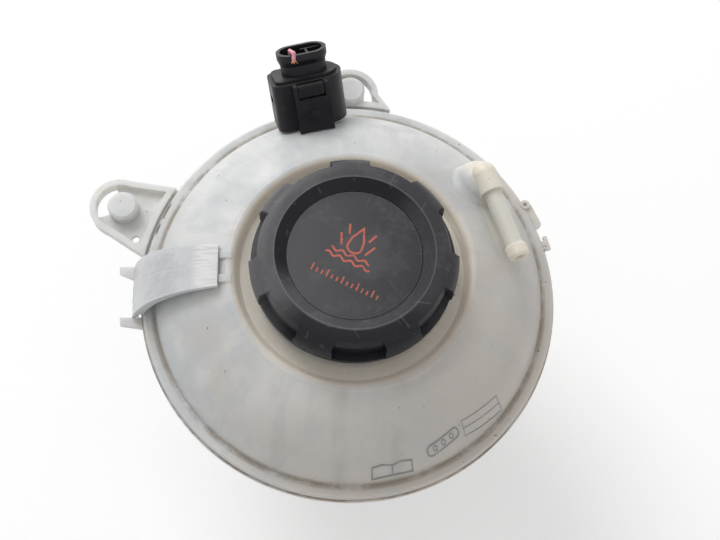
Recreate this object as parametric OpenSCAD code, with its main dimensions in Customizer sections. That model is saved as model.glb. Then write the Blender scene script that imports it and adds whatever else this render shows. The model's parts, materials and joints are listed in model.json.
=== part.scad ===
// Coolant expansion tank of the ball type, with screw cap, valve insert and level sensor plug.
// Z runs up along the axis of the ball. The origin is the middle of the outlet spigot's hose seat.

/* [Ball tank] */
// Radius of the upper weld flange
flange_r = 80; // [78:0.5:86]
// Thickness of each weld flange
flange_t = 3; // [2.4:0.1:3.6]
// Width of the flange band outside the dome's foot
flange_band = 4.6; // [3.6:0.1:5.4]
// How far the lower flange stands out past the upper one
flange_step = 0.8; // [0.4:0.1:1.4]
// Wall thickness of both shells
wall = 2.8; // [2.2:0.1:3.2]
// Depth of the bowl below the weld plane
bowl_depth = 74; // [70:0.5:76]
// How far the dome bulges out of the straight line from flange to ridge
dome_bulge = 5; // [4:0.1:6]
// Radius of the ridge ring round the filler moat
ridge_r = 45.7; // [45:0.1:48]
// Height of the ridge above the weld plane
ridge_h = 30.6; // [29.5:0.1:32]
// Radius of the rounded ridge bead
ridge_bead = 2.6; // [2:0.1:3]
// Depth of the moat below the ridge
moat_depth = 4; // [3:0.1:5]
// How far the moat's floor ends inside the ridge
moat_slope = 4.3; // [3.8:0.1:4.8]

/* [Filler neck] */
// Bore radius of the neck's wide upper part
neck_bore_r = 24.5; // [24:0.1:25]
// Bore radius of the neck's narrow lower part
neck_low_r = 20.4; // [20:0.1:20.8]
// Wall thickness of the threaded neck
neck_wall = 4.5; // [3.8:0.1:4.6]
// Wall thickness of the narrow lower tube
neck_low_wall = 2.6; // [2:0.1:3]
// Height of the neck's rim above the moat's floor
neck_rise = 13.4; // [12.8:0.1:13.8]
// Height of the lower tube's end above the weld plane
neck_end_h = 6; // [4:0.5:7]
// Depth of the chamfers on the neck's rim
neck_chamfer = 0.8; // [0.4:0.1:1.2]

/* [Screw cap] */
// Outer radius over the seven lobes
cap_r = 37.7; // [37.4:0.1:39]
// Radius of the plain ring at the cap's foot
cap_foot_r = 37.1; // [36.8:0.1:37.3]
// Number of grip lobes
lobe_count = 7; // [5:1:9]
// Azimuth of the first finger pocket
pocket_az = -88; // [-90:1:-80]
// Angle that one finger pocket takes up
pocket_angle = 29; // [24:1:32]
// Depth of the finger pockets
pocket_depth = 3.6; // [2.5:0.1:3.8]
// How far the cap's skirt reaches down over the neck
cap_grip = 6.4; // [5.8:0.1:6.8]
// Gap between the neck's rim and the cap's web
cap_gap = 1.1; // [0.8:0.1:1.4]
// Thickness of the web under the cover disc
cap_web = 1.9; // [1.6:0.1:2.2]
// Inner radius of the raised rim
cap_rim_r = 28.4; // [27.8:0.1:29]
// Radius of the cover disc
disc_r = 24.2; // [23:0.1:24.8]
// Thickness of the cover disc
disc_t = 1.6; // [1.2:0.1:2]
// How far the disc's face lies below the rim
disc_drop = 3.6; // [3:0.1:4]
// Gap round the cover disc
disc_gap = 0.15; // [0.1:0.05:0.3]
// Inner radius of the threaded skirt
skirt_r = 31.8; // [31.4:0.1:32.2]
// Radius of the rounded shoulder
cap_shoulder = 7; // [6:0.1:7.6]
// Radius of the pockets' rounded corners
pocket_corner = 2.2; // [1.4:0.1:2.6]
// Depth of the flat cut in the shoulder above each pocket
scoop_depth = 4.2; // [3.4:0.1:4.6]

/* [Valve insert] */
// Outer radius of the insert's wide part
insert_r = 23.7; // [23.4:0.1:23.9]
// Outer radius of the insert's narrow part
insert_low_r = 19.6; // [19.3:0.1:19.8]
// Radius of the insert's inner chamber
chamber_r = 15.5; // [14.5:0.1:16]
// Height of the insert's lower end above the weld plane
insert_end_h = 8; // [7.5:0.1:8.5]
// Height of the valve seat above the insert's lower end
seat_h = 4; // [3.6:0.1:4.4]
// Radius of the port under the valve seat
port_r = 8; // [7:0.1:8.6]
// Section radius of both O-rings
o_ring_r = 1.25; // [1.1:0.05:1.3]
// Clearance of each O-ring to the neck
o_ring_gap = 0.2; // [0.1:0.05:0.3]
// Gap under the insert's shoulder
insert_gap = 0.3; // [0.2:0.05:0.4]
// Radius of the over-pressure plate
plate_r = 14.6; // [13.5:0.1:15]
// Thickness of the over-pressure plate
plate_t = 2.2; // [1.8:0.1:2.4]
// Thickness of the rubber washer under the plate
seal_t = 1.6; // [1.2:0.1:2]
// Wire radius of the over-pressure spring
spring_wire_r = 0.8; // [0.6:0.05:1]
// Coil radius of the over-pressure spring
spring_r = 10.6; // [9:0.1:11.2]
// Turns of the over-pressure spring
spring_turns = 5; // [4:1:6]
// Stem radius of the vacuum valve
stem_r = 1.4; // [1:0.1:1.6]
// Head radius of the vacuum valve
vacuum_r = 5.2; // [4.8:0.1:5.4]
// Length of the vacuum valve's spring
vacuum_spring_h = 5; // [4:0.1:6]

/* [Vent nipple] */
// Distance of the nipple's riser from the flange's edge
nipple_in = 17.1; // [16:0.1:18.5]
// Azimuth of the nipple's riser
nipple_az = 37.2; // [35:0.2:39]
// Direction in which the nipple points
nipple_dir = -70.6; // [-73:0.2:-68]
// Height of the nipple's axis above the weld plane
nipple_h = 30.6; // [30.2:0.1:31.4]
// Outer radius of the nipple's elbow
elbow_r = 4.9; // [4.6:0.1:5.2]
// Length of the elbow from its riser to the step
elbow_len = 8; // [7:0.1:10]
// Outer radius of the nipple's tube
nipple_r = 3.3; // [3:0.1:3.6]
// Length of the tube from the elbow to its tip
nipple_len = 27.4; // [25:0.1:29]
// Outer radius of the barb
barb_r = 4.2; // [3.9:0.1:4.4]
// Length of the barb
barb_len = 5.5; // [4.5:0.1:6]
// Bore radius of the nipple
nipple_bore_r = 1.9; // [1.5:0.1:2.1]
// Radius of the mound that carries the nipple
mound_r = 9.5; // [9:0.1:10]
// Radius of the fillet round the mound
mound_fillet = 5; // [4:0.1:6]
// How far the mound's middle lies inside the nipple's riser
mound_in = 2; // [1.5:0.1:2.5]

/* [Hose strap] */
// Width of the strap's free end
strap_w = 15.8; // [14:0.1:17]
// Width of the strap at its foot
strap_foot_w = 21; // [19:0.2:22]
// Thickness of the strap's free end
strap_t = 2.2; // [2:0.1:2.6]
// How much thicker the strap is at its foot
strap_growth = 1.6; // [1:0.1:2]
// Width of the leg that hooks under the flange
strap_leg_w = 9.4; // [8:0.2:9.6]
// Azimuth of the strap
strap_az = 180; // [179:0.5:181]
// How far the strap bulges out of its straight line
strap_bulge = 7.4; // [7.2:0.1:8]

/* [Fixing lugs] */
// Distance of the left lug's boss from the flange's edge
left_lug_out = 17.6; // [16:0.2:20]
// Azimuth of the left lug
left_lug_az = 159; // [157:0.5:160]
// Distance of the rear lug's boss from the flange's edge
rear_lug_out = 6.8; // [6.4:0.1:9]
// Azimuth of the rear lug
rear_lug_az = 89.4; // [88:0.2:91]
// Radius of a lug's round end
lug_r = 11.6; // [11:0.1:12.4]
// Outer radius of a lug's boss
boss_r = 5.9; // [5.6:0.1:6.2]
// How far the left boss lies inside the middle of its lug's round end
left_boss_in = 1.8; // [1:0.1:2.2]
// How far the rear boss lies outside the middle of its lug's round end
rear_boss_out = 0.8; // [0.4:0.1:1.4]
// Radius of the socket in a boss
boss_bore_r = 4; // [3.5:0.1:4.4]
// Height of a boss above the weld plane
boss_h = 5; // [4:0.1:5.6]
// Depth of the socket in a boss
boss_bore_depth = 11; // [9:0.5:12]
// Thickness of a lug's floor
lug_t = 2.4; // [2:0.1:3]
// Width and height of a lug's rim
lug_rim = 2.4; // [2:0.1:2.8]
// Half the angle of a lug's opening
lug_opening = 44; // [38:1:50]

/* [Outlet spigot] */
// Outer radius of the outlet spigot
outlet_r = 10; // [9:0.25:11]
// Bore radius of the outlet spigot
outlet_bore_r = 7.6; // [7:0.1:8]
// Length of the spigot's plain hose seat
outlet_seat = 16; // [14:1:16]
// Distance of the spigot's mouth from the bottom of the bowl
outlet_drop = 24; // [22:0.5:28]
// Outer radius of the collar above the hose seat
outlet_collar_r = 12.5; // [12:0.25:14]
// Height of the pad that the spigot is welded to
outlet_pad = 2; // [1.5:0.1:3]

/* [Level sensor and plug] */
// Distance of the sensor's foot from the flange's edge
sensor_in = 11.3; // [10.8:0.1:12]
// Azimuth of the sensor's foot
sensor_az = 102.6; // [102:0.2:104]
// Azimuth towards which the plug leans
lean_az = 104.6; // [103:0.2:106]
// Lean of the plug out of the vertical
lean = 40; // [38:0.5:42]
// Width of the plug's body
plug_w = 28.4; // [27.6:0.1:29.4]
// Depth of the plug's body
plug_d = 17.5; // [17.2:0.1:18]
// Corner radius of the plug's squarer end
plug_corner = 4.2; // [3.4:0.1:5]
// Height of the body's top above the sensor's foot
plug_h = 20.3; // [19.8:0.1:21]
// Height of the collar's rim above the sensor's foot
collar_h = 30.5; // [29.8:0.1:31]
// Width of the collar's rim
collar_w = 19.6; // [19:0.1:20.2]
// Depth of the collar's rim
collar_d = 12.4; // [12:0.1:13]
// Width of the latch hood
hood_w = 13.6; // [13:0.1:14.4]
// How far the hood stands out of the body
hood_out = 3.75; // [3.6:0.05:4.2]
// Outer width of the tank's socket
socket_w = 22; // [21.5:0.1:22.4]
// Outer depth of the tank's socket
socket_d = 12; // [11.6:0.1:12.2]
// Wall of the tank's socket
socket_wall = 1.6; // [1.4:0.1:1.8]
// Pitch of the wire cavities
pin_pitch = 4.2; // [4:0.1:4.6]
// Radius of the sensor rods
rod_r = 1.5; // [1.2:0.1:1.6]
// Length of the sensor rods inside the tank
rod_len = 56; // [40:1:58]
// Radius of the cut wire
wire_r = 0.85; // [0.7:0.05:0.95]

/* [Hidden] */
$fn = 96;

// Small sizes that several pieces share
eps = 0.01;
slip = 0.3;
fit = 0.05;
edge = 0.8;
weld_z = bowl_depth + outlet_drop;
nipple_at_r = flange_r - nipple_in;
left_lug_r = flange_r + left_lug_out;
rear_lug_r = flange_r + rear_lug_out;
sensor_r = flange_r - sensor_in;

// Dome section: an arc through the flange's foot and the ridge
foot_r = flange_r - flange_band;
chord = [ridge_r - foot_r, ridge_h - flange_t];
chord_len = norm(chord);
dome_r = (chord_len * chord_len / 4 + dome_bulge * dome_bulge) / (2 * dome_bulge);
chord_n = [chord[1], -chord[0]] / chord_len;
dome_c = [foot_r, flange_t] + chord / 2 - chord_n * (dome_r - dome_bulge);
function dome_z(r) = dome_c[1] + sqrt(dome_r * dome_r - pow(r - dome_c[0], 2));
function dome_lean(r) = atan2(r - dome_c[0], dome_z(r) - dome_c[1]);
function polar(r, a) = [r * cos(a), r * sin(a)];

// Heights of the neck and moat
moat_r = ridge_r - moat_slope;
moat_h = ridge_h - moat_depth;
moat_under = moat_h - wall;
neck_r = neck_bore_r + neck_wall;
neck_h = moat_h + neck_rise;

// Heights and radii of the cap
cap_foot_h = neck_h - cap_grip;
plate_under = neck_h + cap_gap;
disc_h = plate_under + cap_web + disc_t;
cap_rim_h = disc_h + disc_drop;
pocket_low_h = cap_foot_h + 3;
pocket_top_h = cap_rim_h - 4.4;
collar_in_r = 20.6;
collar_wall = 2;
lip_r = collar_in_r - slip;
lip_t = 1.6;
hook_t = 1.4;
hook_in = 1.7;

// Heights of the valve insert
shoulder_h = moat_h + insert_gap;
insert_top = plate_under - slip;
lip_h = insert_top - lip_t;
groove_h = 2 * o_ring_r + 0.4;
wide_top = lip_h - slip - hook_t - slip;
upper_groove_h = (shoulder_h + wide_top - groove_h) / 2;
lower_groove_h = insert_end_h + 4.4;
seat_top = insert_end_h + seat_h;
floor_t = seat_h - 1;
retainer_t = 2;
retainer_h = insert_top - retainer_t - 0.5;
plate_h = seat_top + seal_t;
plate_top = plate_h + plate_t;
spring_h = retainer_h - plate_top;
vacuum_head_t = 1.4;
clip_t = 0.8;
clip_r = 3.4;
vacuum_spring_r = 2.5;
vacuum_wire_r = 0.3;
clip_h = plate_top + vacuum_spring_h;

// Lower shell
lower_r = flange_r + flange_step;
bowl_r = (pow(flange_r - flange_band, 2) + pow(bowl_depth - flange_t, 2)) / (2 * (bowl_depth - flange_t));
bowl_cz = bowl_r - bowl_depth;
baffle_t = 1.8;
baffle_left = -26.5;
baffle_mid = -5;
baffle_right = 16.5;
baffle_front = -40;
baffle_rear = 62;

// Strap section: an arc from its free end near the ridge to its foot outside the flange
strap_leg_t = 2.6;
strap_end = [ridge_r + 3.4, dome_z(ridge_r + 3.4) + strap_t + 0.35];
strap_foot = [lower_r + slip + strap_leg_t, 0];
strap_chord = strap_end - strap_foot;
strap_len = norm(strap_chord);
strap_R = (strap_len * strap_len / 4 + strap_bulge * strap_bulge) / (2 * strap_bulge);
strap_n = [strap_chord[1], -strap_chord[0]] / strap_len;
strap_c = strap_foot + strap_chord / 2 - strap_n * (strap_R - strap_bulge);
strap_shift = strap_growth / 2 / (strap_len / 2 / strap_R);
strap_hook_h = -flange_t - slip;
strap_hook_t = 2.4;
tab_y = strap_leg_w / 2 + slip + 4.8 + 0.5;

// Plug and socket, in the sensor's own frame
plug_low = 1.4;
plug_clear = 0.45;
cavity_w = socket_w + 2 * plug_clear;
cavity_d = socket_d + 2 * plug_clear;
cavity_top = 14.6;
socket_top = 13.8;
socket_floor = 1.2;
core_w = socket_w - 2 * socket_wall - 1;
core_d = socket_d - 2 * socket_wall - 1;
core_low = 4;
seal_low = 8.6;
seal_h = 3;
seal_in = 0.9;
neck_w = collar_w - 1.8;
neck_d = collar_d - 1.6;
collar_low = collar_h - 2.6;
recess_low = collar_h - 3.2;
recess_in = 1.5;
hood_low = plug_low - 1.6;
hood_wall = 1.5;
hood_x = -plug_d / 2 - hood_out;
panel_t = 1.05;
panel_top = plug_h - 5.6;
latch_t = 1.1;
latch_back = -plug_d / 2 - 0.9;
latch_w = hood_w - 2 * hood_wall - 0.7;
latch_low = plug_low + 1.2;
latch_top = plug_h - 0.3;
pad_low = panel_top + 1.2;
pivot_z = 10.4;
pivot_r = 0.8;
window_w = 6.4;
ramp_out = 0.4;
hook_tip = -socket_d / 2 - ramp_out - 0.35;
pivot_x = latch_back - latch_t / 2;
pin_r = 0.75;
pin_top = 11.5;
terminal_r = 1.4;
terminal_top = 13.4;
lock_t = 1.2;
mat_top = recess_low;
mat_t = 3.4;
mat_w = collar_w - 4.6;
mat_d = collar_d - 5.4;

// Slot shape whose sides lean in by lean_in over its height, long side along Y
module leaning_oval(w, d, h, lean_in) {
    for (side = [-1, 1]) translate([0, side * (w - d) / 2, 0])
        cylinder(r1 = d / 2, r2 = d / 2 - lean_in, h = h);
    translate([0, -(w - d) / 2, 0]) rotate([-90, 0, 0]) linear_extrude(height = w - d)
        polygon([[-d / 2, 0], [lean_in - d / 2, -h], [d / 2 - lean_in, -h], [d / 2, 0]]);
}

// Slot shape with one round end and one squarer end towards +Y
module body_plan(w, d, corner, h) {
    linear_extrude(height = h) union() {
        translate([0, -(w - d) / 2]) circle(r = d / 2);
        translate([-d / 2, -(w - d) / 2]) square([d, w - d / 2 - corner]);
        translate([corner - d / 2, 0]) square([d - 2 * corner, w / 2]);
        for (side = [-1, 1]) translate([side * (d / 2 - corner), w / 2 - corner]) circle(r = corner);
    }
}

// Slot shape with round ends, long side along Y
module oval(w, d, h) {
    linear_extrude(height = h) union() {
        for (side = [-1, 1]) translate([0, side * (w - d) / 2]) circle(r = d / 2);
        translate([-d / 2, -(w - d) / 2]) square([d, w - d]);
    }
}

module at_weld() {
    translate([0, 0, weld_z]) children();
}

module at_sensor() {
    at_weld() rotate([0, 0, sensor_az]) translate([sensor_r, 0, dome_z(sensor_r)])
        rotate([0, 0, lean_az - sensor_az]) rotate([0, lean, 0]) children();
}

module at_nipple() {
    rotate([0, 0, nipple_az]) translate([nipple_at_r, 0, nipple_h])
        rotate([0, 0, nipple_dir - nipple_az]) children();
}

// Wedge between two directions from a centre
module wedge(c, a0, a1, reach) {
    polygon([c, c + polar(reach, a0), c + polar(reach, (a0 + a1) / 2), c + polar(reach, a1)]);
}

// Round coil along Z between h0 and h1, with one closed turn at each end
module coil(r, wire, turns, h0, h1, sides = 8, steps = 20) {
    closed = 2.1 * wire;
    pitch = (h1 - h0 - 2 * wire - 2 * closed) / (turns - 2);
    count = turns * steps;
    function lift(t) = t < 1 ? closed * t
        : t > turns - 1 ? closed + pitch * (turns - 2) + closed * (t - turns + 1)
        : closed + pitch * (t - 1);
    points = [for (i = [0:count], j = [0:sides - 1])
        let (a = 360 * i / steps, b = 360 * j / sides, q = r + wire * cos(b))
        [q * cos(a), q * sin(a), h0 + wire + lift(i / steps) + wire * sin(b)]];
    skin = [for (i = [0:count - 1], j = [0:sides - 1])
        [i * sides + j, i * sides + (j + 1) % sides,
         (i + 1) * sides + (j + 1) % sides, (i + 1) * sides + j]];
    ends = [[for (j = [sides - 1:-1:0]) j], [for (j = [0:sides - 1]) count * sides + j]];
    polyhedron(points = points, faces = concat(skin, ends), convexity = 6);
}

// Section of the dome's skin
module dome_section() {
    a0 = atan2(flange_t - dome_c[1], foot_r - dome_c[0]);
    a1 = atan2(ridge_h - dome_c[1], ridge_r - dome_c[0]);
    intersection() {
        translate(dome_c) difference() {
            circle(r = dome_r);
            circle(r = dome_r - wall);
        }
        wedge(dome_c, a0 - 3, a1, 2 * dome_r);
    }
}

// Section of the upper flange, with its outer edges broken
module upper_flange_section() {
    polygon([[foot_r - wall - 1.2, 0], [flange_r, 0], [flange_r, flange_t - edge],
             [flange_r - edge, flange_t], [foot_r - wall - 1.2, flange_t]]);
}

// Section of the ridge, the moat and the tube below it
module filler_section() {
    translate([ridge_r - 0.4, ridge_h - ridge_bead + 0.2]) circle(r = ridge_bead);
    polygon([[neck_low_r, moat_under], [moat_r + 1.6, moat_under], [ridge_r + 1.4, ridge_h - 3.6],
             [ridge_r - 1.6, ridge_h - 0.6], [moat_r, moat_h], [neck_low_r, moat_h]]);
    translate([neck_low_r, neck_end_h]) square([neck_low_wall, moat_under - neck_end_h + 1]);
}

// Space under the dome's inner face
module dome_room() {
    a0 = atan2(flange_t - dome_c[1], foot_r - dome_c[0]);
    a1 = atan2(ridge_h - dome_c[1], ridge_r - dome_c[0]);
    rotate_extrude() intersection() {
        union() {
            intersection() {
                translate(dome_c) circle(r = dome_r - wall);
                wedge(dome_c, a0 - 30, a1, 2 * dome_r);
            }
            translate([0, -20]) square([ridge_r, 20 + moat_under]);
        }
        translate([0, -20]) square([flange_r, 20 + ridge_h]);
    }
}

module at_mound() {
    at_r = nipple_at_r - mound_in;
    rotate([0, 0, nipple_az]) translate([at_r, 0, dome_z(at_r)]) rotate([0, dome_lean(at_r), 0]) children();
}

// Soft mound of the dome under the nipple, with a fillet round its foot
module mound() {
    sink = 2.2;
    out = sqrt(pow(mound_r + mound_fillet, 2) - pow(mound_fillet - sink, 2)) - 0.1;
    touch = [out, mound_fillet - sink] * mound_r / (mound_r + mound_fillet);
    at_mound() rotate_extrude() union() {
        intersection() {
            circle(r = mound_r);
            translate([0, -sink - 2.5]) square([mound_r, mound_r + sink + 2.5]);
        }
        difference() {
            polygon([[0, -sink - 2.5], [out, -sink - 2.5], [out, mound_fillet - sink], touch, [0, touch[1]]]);
            translate([out, mound_fillet - sink]) circle(r = mound_fillet);
        }
    }
}

module mound_room() {
    inner = mound_r - wall;
    at_mound() rotate_extrude() union() {
        intersection() {
            circle(r = inner);
            square([inner, inner]);
        }
        translate([0, -mound_r]) square([inner, mound_r]);
    }
}

// Elbow nipple with its barb, before it is bored
module nipple_body() {
    at_nipple() {
        sphere(r = elbow_r);
        translate([0, 0, -12]) cylinder(r = elbow_r, h = 12);
        rotate([0, 90, 0]) {
            cylinder(r = elbow_r - 0.1, h = elbow_len);
            cylinder(r = nipple_r, h = elbow_len + nipple_len - 1);
            translate([0, 0, elbow_len + nipple_len - barb_len]) {
                cylinder(r1 = nipple_r - 0.05, r2 = barb_r, h = 1.2);
                translate([0, 0, 1.2]) cylinder(r = barb_r, h = barb_len - 2.2);
                translate([0, 0, barb_len - 1]) cylinder(r1 = barb_r, r2 = nipple_r + 0.2, h = 1);
            }
        }
    }
}

module nipple_bore() {
    at_nipple() {
        translate([0, 0, -20]) cylinder(r = nipple_bore_r, h = 20);
        rotate([0, 90, 0]) cylinder(r = nipple_bore_r + 0.05, h = elbow_len + nipple_len + 1);
    }
}

// Thin walls that hang from the dome, cut to the room under it
module dome_baffles() {
    intersection() {
        dome_room_grown();
        union() {
            for (x = [baffle_left, baffle_mid, baffle_right])
                translate([x - baffle_t / 2, -foot_r, 0]) cube([baffle_t, foot_r - 27, ridge_h]);
            translate([baffle_right, baffle_rear - 20, 0]) cube([baffle_t, 30, ridge_h]);
            translate([baffle_right - 10, baffle_rear, 0]) cube([24, baffle_t, ridge_h]);
        }
    }
}

// The room under the dome, reaching into its wall so that the baffles join it
module dome_room_grown() {
    inner = neck_low_r + neck_low_wall / 2;
    rotate_extrude() union() {
        intersection() {
            translate(dome_c) circle(r = dome_r - wall / 2);
            translate([ridge_r - 1, 0]) square([foot_r - wall - ridge_r + 1, ridge_h]);
        }
        translate([inner, 0]) square([ridge_r - 1 - inner, moat_under + wall / 2]);
    }
}

// Foot and walls of the socket for the plug, in the sensor's frame
module socket_body() {
    translate([0, 0, -9]) oval(socket_w + 3, socket_d + 3, 9.8);
    oval(socket_w, socket_d, socket_top);
    translate([-socket_d / 2 - ramp_out, -2.4, 7]) cube([2, 4.8, 2.4]);
}

module socket_room() {
    translate([0, 0, socket_floor])
        oval(socket_w - 2 * socket_wall, socket_d - 2 * socket_wall, socket_top);
    for (y = [-pin_pitch, pin_pitch]) translate([0, y, -20]) cylinder(r = rod_r + fit, h = 25);
}

// Clips on the right of the flange: a block with a round nub, and a small hook
module flange_clips() {
    rotate([0, 0, 24]) translate([flange_r - 1.5, 0, 0]) linear_extrude(height = 2.2) union() {
        translate([0, -5.4]) square([3, 10.8]);
        translate([0, -4]) square([4.4, 8]);
        for (side = [-1, 1]) translate([3, 4 * side]) circle(r = 1.4);
    }
    rotate([0, 0, 27.8]) translate([flange_r + 0.5, 0, 0]) difference() {
        cylinder(r = 1.9, h = 3.4);
        translate([0, 0, 1.4]) cylinder(r = 0.8, h = 3);
    }
    rotate([0, 0, 15.2]) translate([flange_r - 1.5, 0, 0]) {
        translate([0, -1.1, 0]) cube([4, 2.2, 2]);
        translate([3.1, -2.9, 0]) cube([1.4, 5.8, 2]);
        translate([2.2, -2.9, 0]) cube([1.4, 1.1, 2]);
    }
}

module strap_ribs() {
    for (side = [1, -1]) rotate([0, 0, strap_az])
        translate([ridge_r - 1.4, side * strap_w * 0.29 - 1.4, moat_h]) cube([4.5, 2.8, ridge_h - moat_h + 0.5]);
}

module upper_shell() {
    color([0.84, 0.84, 0.81]) difference() {
        union() {
            at_weld() difference() {
                union() {
                    rotate_extrude() union() {
                        dome_section();
                        upper_flange_section();
                        filler_section();
                    }
                    difference() {
                        union() {
                            mound();
                            nipple_body();
                        }
                        dome_room();
                    }
                }
                mound_room();
            }
            difference() {
                at_sensor() socket_body();
                at_weld() dome_room();
            }
            at_weld() {
                dome_baffles();
                flange_clips();
                strap_ribs();
            }
        }
        at_weld() nipple_bore();
        at_sensor() socket_room();
    }
}

// Neck for the cap's thread, welded on the floor of the moat
module filler_neck() {
    c = neck_chamfer;
    color([0.84, 0.84, 0.81]) at_weld() rotate_extrude()
        polygon([[neck_bore_r, moat_h], [neck_r, moat_h], [neck_r, neck_h - c], [neck_r - c, neck_h],
                 [neck_bore_r + c, neck_h], [neck_bore_r, neck_h - c]]);
}

// Section of the bowl with its flange and the pad for the outlet spigot
module bowl_section() {
    difference() {
        union() {
            intersection() {
                translate([0, bowl_cz]) circle(r = bowl_r);
                translate([0, -weld_z]) square([flange_r, weld_z]);
            }
            translate([0, -bowl_depth - outlet_pad]) square([outlet_collar_r + 1, outlet_pad + wall + 1]);
        }
        translate([0, bowl_cz]) circle(r = bowl_r - wall);
        translate([-1, -weld_z - 1]) square([outlet_bore_r + 1, outlet_drop + 6]);
    }
    polygon([[foot_r - wall - 1.2, -flange_t], [lower_r - edge, -flange_t], [lower_r, -flange_t + edge],
             [lower_r, 0], [foot_r - wall - 1.2, 0]]);
}

// Spigot for the hose, welded under the bowl
module outlet_spigot() {
    top_h = outlet_drop - outlet_pad;
    color([0.82, 0.82, 0.79]) rotate_extrude()
        polygon([[outlet_bore_r, 0], [outlet_r, 0], [outlet_r, outlet_seat], [outlet_collar_r, outlet_seat],
                 [outlet_collar_r, top_h], [outlet_bore_r, top_h]]);
}

// Thin walls in the bowl, with round windows for the coolant
module bowl_baffles() {
    intersection() {
        translate([0, 0, bowl_cz]) sphere(r = bowl_r - wall / 2);
        difference() {
            union() {
                for (x = [baffle_left, baffle_right])
                    translate([x - baffle_t / 2, -flange_r, -bowl_depth]) cube([baffle_t, flange_r - 6, bowl_depth]);
                translate([baffle_left, baffle_front, -bowl_depth])
                    cube([baffle_right - baffle_left, baffle_t, bowl_depth]);
            }
            for (y = [-56, -24]) translate([-flange_r, y, -bowl_depth / 2]) rotate([0, 90, 0])
                cylinder(r = 9, h = 2 * flange_r);
            translate([(baffle_left + baffle_right) / 2, -flange_r, -bowl_depth / 2]) rotate([-90, 0, 0])
                cylinder(r = 12, h = flange_r);
            translate([-flange_r, -flange_r, -bowl_depth]) cube([2 * flange_r, 2 * flange_r, 12]);
        }
    }
}

// Plan of a fixing lug: round end and a foot that widens towards the flange
module lug_plan(out, r, foot, shrink) {
    translate([out, 0]) circle(r = r - shrink);
    polygon([[out, r - shrink], [flange_r, foot - shrink], [flange_r - 4, foot - shrink],
             [flange_r - 4, shrink - foot], [flange_r, shrink - foot], [out, shrink - r]]);
}

// Fixing lug with a rim, a boss that is closed on top, and an open side
module lug(out, boss_at, foot, open_dir) {
    wall_r = lower_r + 0.5;
    difference() {
        union() {
            difference() {
                translate([0, 0, -flange_t]) linear_extrude(height = flange_t + lug_rim)
                    lug_plan(out, lug_r, foot, 0);
                translate([0, 0, -flange_t + lug_t]) linear_extrude(height = flange_t + lug_rim)
                    difference() {
                        lug_plan(out, lug_r, foot, lug_rim);
                        circle(r = wall_r + lug_rim);
                    }
            }
            translate([boss_at, 0, -boss_bore_depth + boss_h - 1.8]) {
                cylinder(r = boss_r, h = boss_bore_depth + 0.8);
                translate([0, 0, boss_bore_depth + 0.8]) cylinder(r1 = boss_r, r2 = boss_r - 1, h = 1);
            }
        }
        translate([0, 0, 0]) cylinder(r = wall_r, h = flange_t + lug_rim + 1);
        translate([0, 0, -flange_t - 1]) linear_extrude(height = flange_t + lug_rim + 2)
            intersection() {
                difference() {
                    translate([out, 0]) circle(r = lug_r - lug_rim);
                    translate([boss_at, 0]) circle(r = boss_r);
                }
                wedge([boss_at, 0], open_dir - lug_opening, open_dir + lug_opening, 2 * lug_r);
            }
        translate([boss_at, 0, -boss_bore_depth + boss_h - 2.8])
            cylinder(r = boss_bore_r, h = boss_bore_depth + 1);
    }
}

// Pointed tabs under the foot of the strap
module flange_tabs() {
    translate([-flange_r, 0, -flange_t]) linear_extrude(height = flange_t - slip) {
        polygon([[3, tab_y], [-9.7, tab_y], [-9.5, tab_y - 2.7], [-4.4, tab_y - 4.8], [3, tab_y - 4.8]]);
        polygon([[3, -tab_y], [-8.4, -tab_y], [-8.2, -tab_y - 3], [0, -tab_y - 4.2], [3, -tab_y - 4.2]]);
    }
}

module lower_shell() {
    color([0.82, 0.82, 0.79]) at_weld() difference() {
        union() {
            rotate_extrude() bowl_section();
            bowl_baffles();
            difference() {
                union() {
                    rotate([0, 0, left_lug_az]) lug(left_lug_r, left_lug_r - left_boss_in, 15.5, -5);
                    rotate([0, 0, rear_lug_az]) lug(rear_lug_r, rear_lug_r + rear_boss_out, 16.5, -74);
                    flange_tabs();
                }
                translate([0, 0, bowl_cz]) sphere(r = bowl_r - wall / 2);
            }
        }
        rotate([0, 0, left_lug_az]) translate([flange_r + 6.6, 9.5, -flange_t - 1]) cylinder(r = 1.5, h = flange_t + 2);
    }
}

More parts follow.
